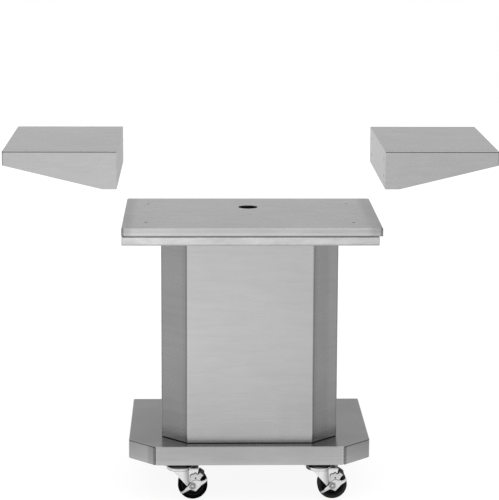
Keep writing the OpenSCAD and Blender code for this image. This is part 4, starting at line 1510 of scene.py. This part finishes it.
@dataclass
class Deck(Repeats):
    """Deck frame, bearers, deck pan and their bolts."""

    frame_width: float = 637.0
    frame_depth: float = 451.0
    frame_round: float = 2.2
    low: float = 660.0
    seam: float = 682.0
    seam_gap: float = 1.8
    top: float = 703.0
    lip: float = 15.0
    sheet: float = 1.5
    bend: float = 2.0
    pan_width: float = 647.0
    pan_depth: float = 455.0
    pan_shift: float = 4.0
    pan_round: float = 8.0
    hole_x: float = 520.0
    hole_y: float = 280.0
    hole_radius: float = 3.5
    hose_radius: float = 25.0
    hose_back: float = 90.0
    well: tuple[float, float, float] = (196.8, -174.3, 180.1)
    bolt_x: float = 260.0
    bolt_y: float = 190.2

    def ring(self, amount: float, height: float) -> Row:
        """Row around the tray, drawn in by an amount."""
        loop = rectangle(self.frame_width - 2 * amount, self.frame_depth - 2 * amount,
                         max(self.frame_round - amount, 0.2))
        return at(loop, height)

    def mouth(self, height: float) -> Row:
        """Row around the tray's opening over the column."""
        half, front, back = self.well
        return at(rectangle(2 * half, back - front, 0.2, centre=(0.0, (front + back) / 2)), height)

    def tray(self) -> Shape:
        """Shallow tray, open over the column, with an inner lip."""
        section = [*fold(self.low, 1, self.sheet, self.bend, 3), *fold(self.seam, -1, self.sheet, self.bend, 3)[::-1],
                   ((self.lip, self.seam), (self.lip, self.seam - self.sheet))]
        outer, inner = skins(self.ring, section)
        return Shape().sheet(Plane.FLOOR, [self.mouth(self.low), *outer], [self.mouth(self.low + self.sheet), *inner],
                             capped=False)

    def outline(self, amount: float) -> Loop:
        """Outline of the deck pan, drawn in by an amount."""
        return rectangle(self.pan_width - 2 * amount, self.pan_depth - 2 * amount, self.pan_round - amount, 8,
                         (self.pan_shift, 0.0))

    def pan(self) -> Shape:
        """Folded deck pan with the grill's bolt holes and the hose hole."""
        outer, inner = folded(self.outline, self.seam + self.seam_gap, self.top, self.sheet, self.bend)
        holes = [circle(self.hole_radius, 24, (x * self.hole_x / 2, y * self.hole_y / 2))
                 for x in (-1, 1) for y in (-1, 1)]
        holes.append(circle(self.hose_radius, 48, (0.0, self.hose_back)))
        return Shape().sheet(Plane.FLOOR, outer, inner, holes=holes)

    def build(self) -> None:
        """Makes the deck's pieces."""
        self.put("deck_tray", self.tray(), DECK_TRAY_SHEET, ["deck_frame"])
        self.put("deck_pan_sheet", self.pan(), DECK_PAN_SHEET, ["deck_pan"])
        self.softened("deck_bearers", MILL_SHEET)
        bolt = Bolt(grip=3.0, tip=1.4)
        places = [(x * self.bolt_x, y * self.bolt_y, self.low) for x in (-1, 1) for y in (-1, 1)]
        self.grow("deck_bolt_set", bolt.tree(), places, bolt.sizes(), FASTENER, "deck_bolts", edge=0.4)


@dataclass
class Shelf(Assembly):
    """Side shelf with its bracket and rib; side is -1 for the left one and 1 for the right one."""

    side: int
    inner_end: float = 329.0
    length: float = 279.0
    depth: float = 465.0
    top: float = 896.0
    inner_height: float = 94.0
    outer_height: float = 35.0
    level: float = 35.0
    sheet: float = 1.5
    bend: float = 1.8
    corner: float = 3.6

    def line(self, amount: float, height: Optional[float] = None) -> Row:
        """Line around the shelf's three aprons.

        Args:
            amount: Distance inwards.
            height: Height, or None for the aprons' lower edge.

        Returns:
            The line's points.
        """
        half = self.depth / 2
        radius = max(self.corner - amount, 0.1)
        stations = [(0.0, -half + amount), (self.level, -half + amount)]
        for turn in (0, 1):
            v = (2 * turn - 1) * (half - self.corner)
            for step in range(4):
                angle = math.pi / 2 * (turn - 1 + step / 3)
                stations.append((self.length - self.corner + radius * math.cos(angle), v + radius * math.sin(angle)))
        stations += [(self.level, half - amount), (0.0, half - amount)]
        fall = (self.inner_height - self.outer_height) / (self.length - self.level)
        row: Row = []
        for u, v in stations:
            low = self.top - self.inner_height + max(0.0, u - self.level) * fall
            row.append((self.inner_end + u, v, low if height is None else height))
        return row

    def pan(self) -> Shape:
        """Folded shelf with tapered aprons."""
        outer, inner = skins(self.line, fold(self.top, -1, self.sheet, self.bend, 6)[::-1])
        return Shape().sheet(Plane.FLOOR, [self.line(0.0), *outer], [self.line(self.sheet), *inner], around=False)

    def build(self) -> None:
        """Makes the shelf's pieces."""
        word = "left" if self.side < 0 else "right"
        shape = self.pan().mirrored() if self.side < 0 else self.pan()
        self.put(word + "_shelf_sheet", shape, SHELF_SHEET, [word + "_shelf"])
        self.softened(word + "_shelf_bracket", MILL_SHEET)
        self.softened(word + "_shelf_rib", MILL_SHEET)


@dataclass
class Caster(Assembly):
    """Swivel caster: plate, fork, axle, sleeve and wheel, and on the front ones the brake."""

    word: str
    x: float
    y: float
    braked: bool
    tyre_finish: Moulded = RUBBER
    trail: float = 33.0
    radius: float = 37.5
    wheel_half: float = 16.0
    core_radius: float = 28.5
    leg_in: float = 17.8
    leg_out: float = 20.3
    leg_top: Point2 = (-14.85, 73.5)
    tail_top: Point2 = (46.0, 63.375)
    tail: float = 48.0
    tail_low: float = 70.0
    tail_rise: float = 9.0
    crown_z: float = 84.0
    crown_radius: float = 33.0
    crown_rim: float = 6.8
    crown_bend: float = 2.8
    fork_sheet: float = 2.5
    fork_bend: float = 4.0
    fork_columns: int = 48
    crease_depth: float = 1.3
    crease_half: float = 2.1
    crease_low: float = 42.0
    crease_rise: float = 8.0
    hub_end: float = 12.0
    plate_low: float = 97.0
    plate_high: float = 100.0
    plate_width: float = 92.0
    plate_depth: float = 67.0
    plate_round: float = 7.0
    hole_x: float = 35.5
    hole_y: float = 22.5
    hole_radius: float = 4.25
    kingpin_bore: float = 5.06
    race_low: float = 88.4
    nut_radius: float = 7.5
    brake_out: float = 22.6
    lever_out: float = 24.9
    brake_sheet: float = 2.0
    pivot: Point2 = (7.3, 19.7)

    @property
    def axle_x(self) -> float:
        """Place of the axle along X."""
        return self.x + self.trail

    def around_axle(self, points: Loop) -> Loop:
        """Outline that was written around the axle."""
        return [(self.axle_x + u, self.radius + v) for u, v in points]

    def turned(self, profile: Loop, steps: int, shape: Optional[Shape] = None) -> Shape:
        """Turns a profile of radius and depth around the axle, as a new shape or added to one."""
        return (shape or Shape()).lathe(Plane.FRONT, (self.axle_x, self.radius), profile, steps)

    def leg_span(self, z: float) -> Point2:
        """Left and right limit of a fork leg at a height.

        Args:
            z: The height.

        Returns:
            Both limits, from the swivel axis.
        """
        hub, left, right = (self.trail, self.radius), self.leg_top, self.tail_top
        touch_left, touch_right = tangent(left, hub, self.hub_end, -1), tangent(right, hub, self.hub_end, 1)
        rise = z - hub[1]
        arc = math.sqrt(max(self.hub_end**2 - rise**2, 0.0))
        low, high = hub[0] - arc, hub[0] + arc
        if z > touch_left[1]:
            share = (z - touch_left[1]) / (left[1] - touch_left[1])
            low = touch_left[0] + share * (left[0] - touch_left[0])
        if z > touch_right[1]:
            share = min(1.0, (z - touch_right[1]) / (right[1] - touch_right[1]))
            high = touch_right[0] + share * (right[0] - touch_right[0])
        return max(low, -self.crown_radius + 9), high

    def fork_rows(self, half: float, crown: float, bend: float) -> list[Row]:
        """Rows of one skin of the fork, up the near leg, over the wheel and down the far leg.

        Args:
            half: Distance of the skin's legs from the wheel's middle.
            crown: Height of the skin over the wheel.
            bend: Radius of the bends between them.

        Returns:
            The rows, each from left to right.
        """
        heights = [self.radius + self.hub_end * math.sin(math.radians(a)) for a in (-78, -60, -42, -25, -8, 8, 25)]
        last = crown - bend
        heights += [heights[-1] + (last - heights[-1]) * k / 9 for k in range(1, 10)]
        stations = [(-half, z, z) for z in heights]
        stations += [(-half + bend * (1 - cosine), last + bend * sine, last) for sine, cosine in quarter(4)[1:]]
        stations.append((0.0, crown, last))
        stations += [(-y, z, level) for y, z, level in reversed(stations[:-1])]
        rows = []
        for y, z, level in stations:
            low, high = self.leg_span(level)
            high = high + (self.tail - high) * faded(level, self.tail_low, self.tail_rise)
            crease = CREASE_TOP[0] + (CREASE_TOP[1] - z) * CREASE_LEAN
            depth = self.crease_depth * faded(z, self.crease_low, self.crease_rise) * min(1.0, abs(y) / half) ** 6
            inwards = 1 if y < 0 else -1
            row = []
            for k in range(self.fork_columns + 1):
                u = low + (high - low) * k / self.fork_columns
                row.append((u, y + inwards * depth * math.exp(-(((u - crease) / self.crease_half) ** 2)), z))
            rows.append(row)
        return rows

    def fork(self) -> Shape:
        """Stamped fork: the legs and tail in one sheet, and the round crown with its race."""
        sheet, bend, bore = self.fork_sheet, self.crown_bend, self.kingpin_bore
        outer = self.fork_rows(self.leg_out, self.crown_z, self.fork_bend)
        inner = self.fork_rows(self.leg_in, self.crown_z - sheet, self.fork_bend - sheet)
        rim, top, lip = self.crown_radius, self.crown_z, self.crown_z - self.crown_rim
        profile = [(bore, top - sheet), (rim - bend, top - sheet)]
        profile += [(rim - bend + (bend - sheet) * sine, top - bend + (bend - sheet) * cosine)
                    for sine, cosine in quarter(3)[1:]]
        profile += [(rim - sheet, lip + 1.0), (rim - sheet + 0.8, lip + 0.1), (rim - 0.8, lip), (rim, lip + 1.0),
                    (rim, top - 0.4), (rim - 0.3, top + 0.7), (rim - 0.9, top + 1.1), (rim - 1.6, top + 0.8),
                    (rim - 2.2, top)]
        profile += [(24.9, top), (24.75, top + 1.4), (24.2, top + 2), (22.7, top + 2), (21.9, top + 0.9),
                    (20.5, top + 0.45), (19.1, top + 0.9), (18.3, top + 2), (16.6, top + 2), (16.0, top), (bore, top)]
        shape = Shape().sheet(Plane.FLOOR, outer, inner, around=False, capped=False)
        return shape.lathe(Plane.FLOOR, (0.0, 0.0), profile, 72).moved(self.x, self.y)

    def mount_plate(self) -> Shape:
        """Mounting plate with round corners."""
        holes = [circle(self.hole_radius, 24, (u * self.hole_x, v * self.hole_y)) for u in (-1, 1) for v in (-1, 1)]
        holes.append(circle(self.kingpin_bore, 32))
        outline = rectangle(self.plate_width, self.plate_depth, self.plate_round, 6)
        shape = Shape().plate(Plane.FLOOR, outline, self.plate_low, self.plate_high, holes, edge=0.5)
        return shape.moved(self.x, self.y)

    def race(self) -> Shape:
        """Upper ball race under the plate."""
        low, high, bore = self.race_low, self.plate_low, self.kingpin_bore
        profile = [(bore, high), (bore, low + 1.4), (17.4, low + 1.4), (18.2, low), (19.2, low), (20.5, low + 0.9),
                   (21.8, low), (24.0, low), (25.6, low + 0.3), (27.6, low - 0.4), (29.6, low - 1.9), (30.2, low - 1.6),
                   (29.0, low + 0.8), (27.6, low + 3.6), (27.0, high)]
        return Shape().lathe(Plane.FLOOR, (0.0, 0.0), profile, 72).moved(self.x, self.y)

    def axle(self) -> Shape:
        """Axle bolt: round domed head over the brake or hexagon head, shank and nut behind."""
        hexagon = circle(self.nut_radius, 6, (self.axle_x, self.radius))
        front = self.y - (self.lever_out + 0.9 if self.braked else self.leg_out)
        back = self.y + self.leg_out
        shape = Shape()
        if self.braked:
            head = [(0.0, front - 4.6), (1.4, front - 4.4), (2.8, front - 3.8), (4.0, front - 2.8), (4.6, front - 1.6),
                    (4.7, front), (0.0, front)]
        else:
            shape.plate(Plane.FRONT, hexagon, front - 4.6, front, edge=0.7)
            head = [(0.0, front - 5.5), (2.2, front - 5.5), (3.6, front - 5.2), (4.6, front - 4.4), (0.0, front - 4.4)]
        shank = [(0.0, front), (4.0, front), (4.0, back + 8.4), (3.4, back + 9), (0.0, back + 9)]
        for profile in (head, shank):
            self.turned(profile, 32, shape)
        return shape.plate(Plane.FRONT, hexagon, back, back + 7, edge=0.7)

    def washer(self) -> Shape:
        """Plastic washer between the brake lever and the bolt's head."""
        front = self.y - self.lever_out
        return self.turned([(4.1, front), (4.1, front - 0.8), (7.0, front - 0.8), (7.3, front - 0.5), (7.3, front)], 48)

    def both_sides(self, side: Loop) -> Loop:
        """Closed profile around the axle from radii and distances from the wheel's middle, same on both sides."""
        return [(r, self.y - h) for r, h in side] + [(r, self.y + h) for r, h in reversed(side)]

    def core(self) -> Shape:
        """Moulded wheel core: hub, web and rim."""
        hub, rim, hub_half, web = 11.0, self.core_radius, 17.5, 6.0
        edge_half = self.wheel_half - 1.6
        side = [(6.56, hub_half - 0.5), (7.1, hub_half), (hub - 0.7, hub_half), (hub, hub_half - 0.7), (hub, web + 1.5),
                (hub + 1.5, web), (rim - 6, web), (rim - 4.4, web + 1.4), (rim - 4, edge_half - 0.6),
                (rim - 3.4, edge_half), (rim - 0.8, edge_half), (rim, edge_half - 0.8)]
        return self.turned(self.both_sides(side), 72)

    def tyre(self) -> Shape:
        """Rubber tyre with round shoulders and a moulded ring on each side."""
        inner, half, shoulder = self.core_radius, self.wheel_half, 4.0
        side = [(inner, half - 2.2), (inner + 0.6, half - 0.5), (inner + 1.6, half), (inner + 2.4, half),
                (inner + 2.9, half - 0.7), (inner + 3.5, half - 0.7), (inner + 4.0, half)]
        side += [(self.radius - shoulder + shoulder * sine, half - shoulder + shoulder * cosine)
                 for sine, cosine in quarter(6)]
        return self.turned(self.both_sides(side), 96)

    def brake_plate(self) -> Shape:
        """Brake plate with its arm over the tyre."""
        front = self.y - self.brake_out
        outline = [(-5.5, -6.5), (-5.8, 10), (-5.4, 25.4), (-4.3, 27.9), (-1.8, 29.5), (4.4, 30.1), (5.6, 32.8),
                   (7.6, 33.2), (9.2, 31.2), (10.4, 29.9), (14.0, 29.5), (15.8, 31.4), (18.1, 34.4), (22.9, 31.2),
                   (27.5, 27.3), (23.3, 22.8), (20.4, 18.6), (18.1, 13.7), (14, 6), (9, -2), (5, -7)]
        holes = [self.around_axle(hole) for hole in (circle(5.6, 24), circle(1.8, 16, self.pivot))]
        return Shape().plate(Plane.FRONT, self.around_axle(rounded(outline, 0.8, 3)), front, front + self.brake_sheet,
                             holes, edge=0.5)

    def shoe(self) -> Shape:
        """Brake shoe across the tyre, with ribs along its back, and the pin of its plate."""
        front = self.y - self.brake_out + self.brake_sheet
        low, high = self.radius + 1.1, self.radius + 4.2
        start, end, ribs = 43.5, 65.5, 6
        polar = [(low, start + (end - start) * k / 12) for k in range(13)]
        polar += [(reach, start + (end - start) * (k + share) / ribs) for k in reversed(range(ribs))
                  for share, reach in ((0.9, high - 1.0), (0.65, high), (0.35, high), (0.1, high - 1.0))]
        band = [(reach * math.cos(math.radians(angle)), reach * math.sin(math.radians(angle)))
                for reach, angle in polar]
        pin = [(0.0, front - 2.5), (1.2, front - 2.4), (1.75, front - 1.9), (1.75, front), (0.0, front)]
        shape = Shape().plate(Plane.FRONT, self.around_axle(band), front, front + 34, edge=0.3)
        return shape.lathe(Plane.FRONT, self.around_axle([self.pivot])[0], pin, 20)

    def shadow_sheet(self) -> Shape:
        """Dark sheet between the fork leg and the brake plate, a painted shadow along the brake plate's edge."""
        back = self.y - self.leg_out
        outline = [(-13.6, -1.6), (-9.5, 5.4), (-6.3, 8.6), (-6.2, 20.0), (-6.9, 26.2), (-5.4, 29.2), (-2.4, 31.0),
                   (3.4, 31.5), (4.8, 34.0), (7.6, 34.8), (10.2, 32.6), (11.2, 31.2), (14.4, 30.6), (14.4, 12), (6, -4)]
        return Shape().plate(Plane.FRONT, self.around_axle(rounded(outline, 0.8, 3)), back - 0.26, back - 0.04,
                             [self.around_axle(circle(6.4, 24))])

    def brake_lever(self) -> Shape:
        """Brake lever: a rocker with a hub round the bolt and a foot pad at each end."""
        front = self.y - self.lever_out
        outline = [(-31.6, -15.4), (-30.2, -14.5), (-19.7, -8), (-11.3, -0.4), (-5, 7.2), (0.2, 12.7), (4.4, 14.9),
                   (9.7, 15.7), (16, 13.2), (22.3, 14.8), (33.8, 19.4), (36.4, 17.6), (37.2, 13.4), (30.6, 7.1),
                   (22.2, 1.7), (17, -4.8), (11.8, -10.3), (8.6, -14.1), (5.5, -14.9), (3.4, -12.6), (0.2, -11.9),
                   (-5.6, -9.7), (-14.5, -14.6), (-25, -20.6), (-28.9, -20.4)]
        hub = [(7.7, front + 0.2), (7.7, front - 0.9), (8.1, front - 1.3), (8.7, front - 1.3), (9.2, front - 0.8),
               (9.6, front + 0.2)]
        shape = Shape().plate(Plane.FRONT, self.around_axle(rounded(outline, 1.6, 3)), front,
                              front + self.brake_sheet, [self.around_axle(circle(4.06, 24))], edge=0.6)
        self.turned(hub, 48, shape)
        for start, tilt, length in (((-31, -15.5), 34, 13), ((21, 14.2), 22, 12)):
            turn = math.radians(tilt)
            along, across = Vector((math.cos(turn), math.sin(turn))), Vector((-math.sin(turn), math.cos(turn)))
            corner = Vector(start)
            pad = [corner - across * 2, corner + along * length - across * 2, corner + along * length, corner]
            shape.plate(Plane.FRONT, self.around_axle([(p.x, p.y) for p in pad]), front - 7, front + 2, edge=0.6)
        return shape

    def build(self) -> None:
        """Makes the caster's pieces."""
        word, fork_body, wheel_body = self.word, "caster_" + self.word, "wheel_" + self.word
        self.put("mount_plate_" + word, self.mount_plate(), ZINC, ["plate_" + word])
        # The upper race is near-black as painted shade.
        self.put("upper_race_" + word, self.race(), SHADE_DARK_RACE)
        self.put("fork_sheet_" + word, self.fork(), FORK_ZINC, ["fork_" + word], fork_body, edge=0.45)
        self.put("axle_bolt_" + word, self.axle(), AXLE_BOLT, ["axle_" + word], fork_body)
        self.softened("sleeve_" + word, BEARING, fork_body, edge=0.2)
        self.put("wheel_core_" + word, self.core(), CORE, ["core_" + word], wheel_body)
        self.put("wheel_tyre_" + word, self.tyre(), self.tyre_finish, ["tyre_" + word], wheel_body)
        if self.braked:
            side = word.split("_")[1]
            plate, lever = "brake_plate_" + side, "brake_lever_" + side
            self.put("bolt_washer_" + side, self.washer(), WASHER, body=fork_body)
            self.put("brake_sheet_" + side, self.brake_plate(), BRAKE_ZINC, [plate], plate)
            # The brake shoe's dark tone is painted shade.
            self.put("brake_shoe_" + side, self.shoe(), SHADE_DARK_STEEL, body=plate)
            # A dark sheet behind the brake plate paints the shadow along its edge.
            self.put("brake_spring_" + side, self.shadow_sheet(), SHADE_DARK_STEEL, body=fork_body)
            self.put("brake_rocker_" + side, self.brake_lever(), LEVER_ZINC, [lever], lever)


@dataclass
class Casters(Repeats):
    """The four casters, and the balls, kingpins and bolts that they share."""

    ball_z: float = 87.2
    ball_radius: float = 2.75
    ball_ring: float = 20.5
    balls: int = 16

    def build(self) -> None:
        """Makes all casters and their shared pieces."""
        centres = []
        for row, depth in (("front", -1), ("rear", 1)):
            for side, way in (("left", -1), ("right", 1)):
                x, y = way * CASTER_X, depth * CASTER_Y
                centres.append((x, y))
                # The right tyres get a paler rubber.
                tyre_finish = RUBBER_PALER if side == "right" else RUBBER
                Caster(f"{row}_{side}", x, y, row == "front", tyre_finish).build()
        sizes = {"Ball Radius": self.ball_radius, "Ring Radius": self.ball_ring, "Balls": self.balls}
        tree = geometry_tree("ball rings", sizes, fill_ball_rings)
        self.grow("swivel_ball_set", tree, at(centres, self.ball_z), sizes, BEARING, "swivel_balls")
        self.softened("kingpins", FASTENER)
        bolt = Bolt(grip=5.0, tip=1.75, shank_radius=4.0, head_radius=7.0, head_height=4.9, nut_height=5.95)
        places = [(x + u * Caster.hole_x, y + v * Caster.hole_y, Caster.plate_low)
                  for x, y in centres for u in (-1, 1) for v in (-1, 1)]
        # The caster bolts are near-black as painted shade.
        self.grow("caster_bolt_set", bolt.tree(), places, bolt.sizes(), SHADE_DARK_BOLT, "caster_bolts", edge=0.5)


# Studio


@dataclass
class Studio:
    """Camera, pale floor, overhead soft light and surroundings.

    The stops of the floor are distances in metres from its middle, ahead or behind and aside, and the grey level
    that polished metal sees there. Those of the room are shares of the height over the horizon, likewise.
    """

    camera_at: Point3 = (-0.1258, -5.2325, 1.6175)
    yaw: float = 1.404
    pitch: float = 10.938
    roll: float = 0.237
    focal_pixels: float = 2068.1
    long_side: float = 500.0
    sensor: float = 36.0
    floor_half: float = 8.0
    floor_ahead: Stops = ((0.0, 0.92), (0.5, 0.92), (0.57, 0.545), (0.75, 0.575), (0.9, 0.64), (1.3, 0.76),
                          (1.9, 0.86), (3.4, 0.76), (6.0, 0.85))
    floor_beside: Stops = ((0.0, 0.57), (0.5, 0.57), (0.7, 0.55), (0.8, 0.34), (0.92, 0.27), (1.15, 0.41),
                           (1.7, 0.44), (3.0, 0.45))
    # Grey level of the floor under the base: a painted shadow.
    floor_shadow_under: float = 0.05
    floor_paper: float = 0.13
    room_behind: Stops = ((0.0, 0.86), (0.14, 0.84), (0.19, 0.54), (0.26, 0.23), (0.33, 0.23), (0.42, 0.45),
                          (1.0, 0.65))
    room_before: Stops = ((0.0, 0.74), (0.08, 0.45), (0.16, 0.36), (0.33, 0.36), (0.42, 0.45), (0.5, 0.5),
                          (1.0, 0.65))
    room_beside: Stops = ((0.0, 0.45), (0.1, 0.33), (0.2, 0.42), (0.35, 0.46), (0.45, 0.5), (1.0, 0.6))
    light_radiance: float = 0.6
    light_width: float = 2.8
    light_depth: float = 5.4
    light_at: Point3 = (0.0, -0.3, 3.2)

    def camera(self) -> None:
        """Sets the camera where the photograph's was."""
        data = bpy.data.cameras.new("camera")
        data.lens = self.focal_pixels * self.sensor / self.long_side
        data.sensor_width = self.sensor
        data.clip_start, data.clip_end = 0.1, 100.0
        made = linked("camera", data)
        made.location = self.camera_at
        yaw, pitch, roll = (math.radians(a) for a in (self.yaw, self.pitch, self.roll))
        forward = Vector((math.sin(yaw) * math.cos(pitch), math.cos(yaw) * math.cos(pitch), -math.sin(pitch)))
        level = Vector((math.cos(yaw), -math.sin(yaw), 0.0))
        upright = level.cross(forward)
        right = level * math.cos(roll) + upright * math.sin(roll)
        up = upright * math.cos(roll) - level * math.sin(roll)
        turn = Matrix((right, up, -forward)).transposed()
        made.rotation_mode = "QUATERNION"
        made.rotation_quaternion = turn.to_quaternion()
        bpy.context.scene.camera = made

    @staticmethod
    def levels(graph: Graph, value: Socket, stops: Stops, span: float = 1.0) -> Socket:
        """Grey levels along a value.

        Args:
            graph: The tree's graph.
            value: Value from 0 up.
            stops: Values and the grey level at each.
            span: Value at the end of the scale.

        Returns:
            The level as a colour socket.
        """
        scale = graph.node("ShaderNodeValToRGB", {"Fac": graph.math("DIVIDE", value, span)})
        elements = scale.color_ramp.elements
        while len(elements) < len(stops):
            elements.new(0.5)
        for element, (place, level) in zip(elements, stops):
            element.position = place / span
            element.color = (level, level, level, 1.0)
        return scale.outputs["Color"]

    def floor_seen(self, graph: Graph) -> Socket:
        """Grey level of the floor in polished metal, which shades off to the sides, with a painted shadow under the
        base.

        Args:
            graph: The graph of the floor's material.

        Returns:
            The level.
        """
        here = graph.axes()
        away, aside = (graph.math("ABSOLUTE", here[k]) for k in ("Y", "X"))
        lean = graph.math("ADD", graph.ramp(here["X"], -0.45, 0.5, 0.16, -0.16),
                          graph.ramp(here["X"], 0.7, 1.05, 0.0, 0.07))
        lean = graph.math("MULTIPLY", lean, graph.ramp(away, 0.7, 1.1, 0.0, 1.0))
        ahead = graph.scaled(self.levels(graph, away, self.floor_ahead, self.floor_half),
                             graph.math("ADD", 1.0, lean))
        ahead = graph.scaled(ahead, graph.ramp(aside, 0.7, 1.25, 1.03, 0.87))
        beside = graph.scaled(self.levels(graph, aside, self.floor_beside, self.floor_half),
                              graph.ramp(here["X"], -0.4, 0.4, 1.0, 0.87))
        share = graph.ramp(graph.math("SUBTRACT", aside, graph.math("MULTIPLY", away, 0.35)), 0.3, 0.55, 0.0, 1.0)
        # Painted shadow: the floor that polished metal sees goes dark under the base.
        under = graph.math("MULTIPLY", graph.ramp(away, 0.2, 0.3, 1.0, 0.0), graph.ramp(aside, 0.28, 0.4, 1.0, 0.0))
        return graph.colours(under, graph.colours(share, ahead, beside), (*[self.floor_shadow_under] * 3, 1.0))

    def floor(self) -> None:
        """Lays a pale floor that stays white to the camera and keeps the soft shadow."""
        mesh = bpy.data.meshes.new("floor")
        mesh.from_pydata(at(rectangle(2 * self.floor_half, 2 * self.floor_half), 0.0), [], [(0, 1, 2, 3)])
        made = linked("floor", mesh)
        paper = bpy.data.materials.new("floor paper")
        paper.use_nodes = True
        graph = Graph(paper.node_tree)
        mirrored = graph.node("ShaderNodeEmission", {"Color": self.floor_seen(graph), "Strength": 1.0})
        near = graph.node("ShaderNodeVectorMath", {0: graph.place()}, operation="LENGTH").outputs["Value"]
        white = graph.node("ShaderNodeEmission", {"Color": WHITE, "Strength": graph.ramp(near, 0.9, 1.8, 0.9, 1.0)})
        shadow = graph.node("ShaderNodeBsdfDiffuse", {"Color": (*[self.floor_paper] * 3, 1.0)})
        plain = graph.node("ShaderNodeAddShader", {0: white.outputs[0], 1: shadow.outputs[0]})
        self.glossy_or_plain(graph, mirrored, plain, "ShaderNodeOutputMaterial")
        mesh.materials.append(paper)

    @staticmethod
    def glossy_or_plain(graph: Graph, mirrored: bpy.types.Node, plain: bpy.types.Node, output: str) -> None:
        """Shows one shader to polished metal and the other one to all else.

        Args:
            graph: The graph of the floor or of the room.
            mirrored: What polished metal sees.
            plain: What all else sees.
            output: Kind of the output node.
        """
        glossy = graph.node("ShaderNodeLightPath").outputs["Is Glossy Ray"]
        mix = graph.node("ShaderNodeMixShader", {0: glossy, 1: plain.outputs[0], 2: mirrored.outputs[0]})
        graph.node(output, {"Surface": mix.outputs[0]})

    def light(self) -> None:
        """Hangs a soft light over the pedestal."""
        data = bpy.data.lights.new("soft light", "AREA")
        data.shape = "RECTANGLE"
        data.size, data.size_y = self.light_width, self.light_depth
        data.energy = math.pi * self.light_width * self.light_depth * self.light_radiance
        made = linked("soft light", data)
        made.location = self.light_at
        made.visible_camera = False

    def surroundings(self) -> None:
        """Plain white, with pale walls that darken upwards and to the sides where polished metal shows them."""
        world = bpy.data.worlds.new("studio")
        bpy.context.scene.world = world
        world.use_nodes = True
        graph = Graph(world.node_tree)
        way = graph.axes("Generated")
        height, sideways = graph.math("MAXIMUM", way["Z"], 0.0), graph.math("ABSOLUTE", way["X"])
        behind, before, beside = (self.levels(graph, height, stops)
                                  for stops in (self.room_behind, self.room_before, self.room_beside))
        behind = graph.scaled(behind, graph.ramp(way["X"], -0.12, 0.12, 1.03, 0.97))
        beside = graph.scaled(beside, graph.ramp(way["X"], -0.5, 0.5, 1.0, 0.72))
        around = graph.colours(graph.ramp(way["Y"], -0.2, 0.2, 0.0, 1.0), before, behind)
        around = graph.colours(graph.ramp(sideways, 0.45, 0.75, 0.0, 1.0), around, beside)
        room = graph.node("ShaderNodeBackground", {"Color": around, "Strength": 1.0})
        white = graph.node("ShaderNodeBackground", {"Color": WHITE, "Strength": 1.0})
        self.glossy_or_plain(graph, room, white, "ShaderNodeOutputWorld")

    def build(self) -> None:
        """Sets up the whole studio."""
        self.camera()
        self.floor()
        self.light()
        self.surroundings()
        bpy.context.scene.view_settings.view_transform = "Standard"


def main() -> None:
    """Builds the pedestal from the floor up, then the studio."""
    logging.basicConfig(level=logging.INFO, format="%(message)s")
    Studio().build()
    for assembly in (Casters(), Base(), Column(), Door(), Deck(), Shelf(-1), Shelf(1)):
        assembly.build()


if __name__ == "__main__":
    main()
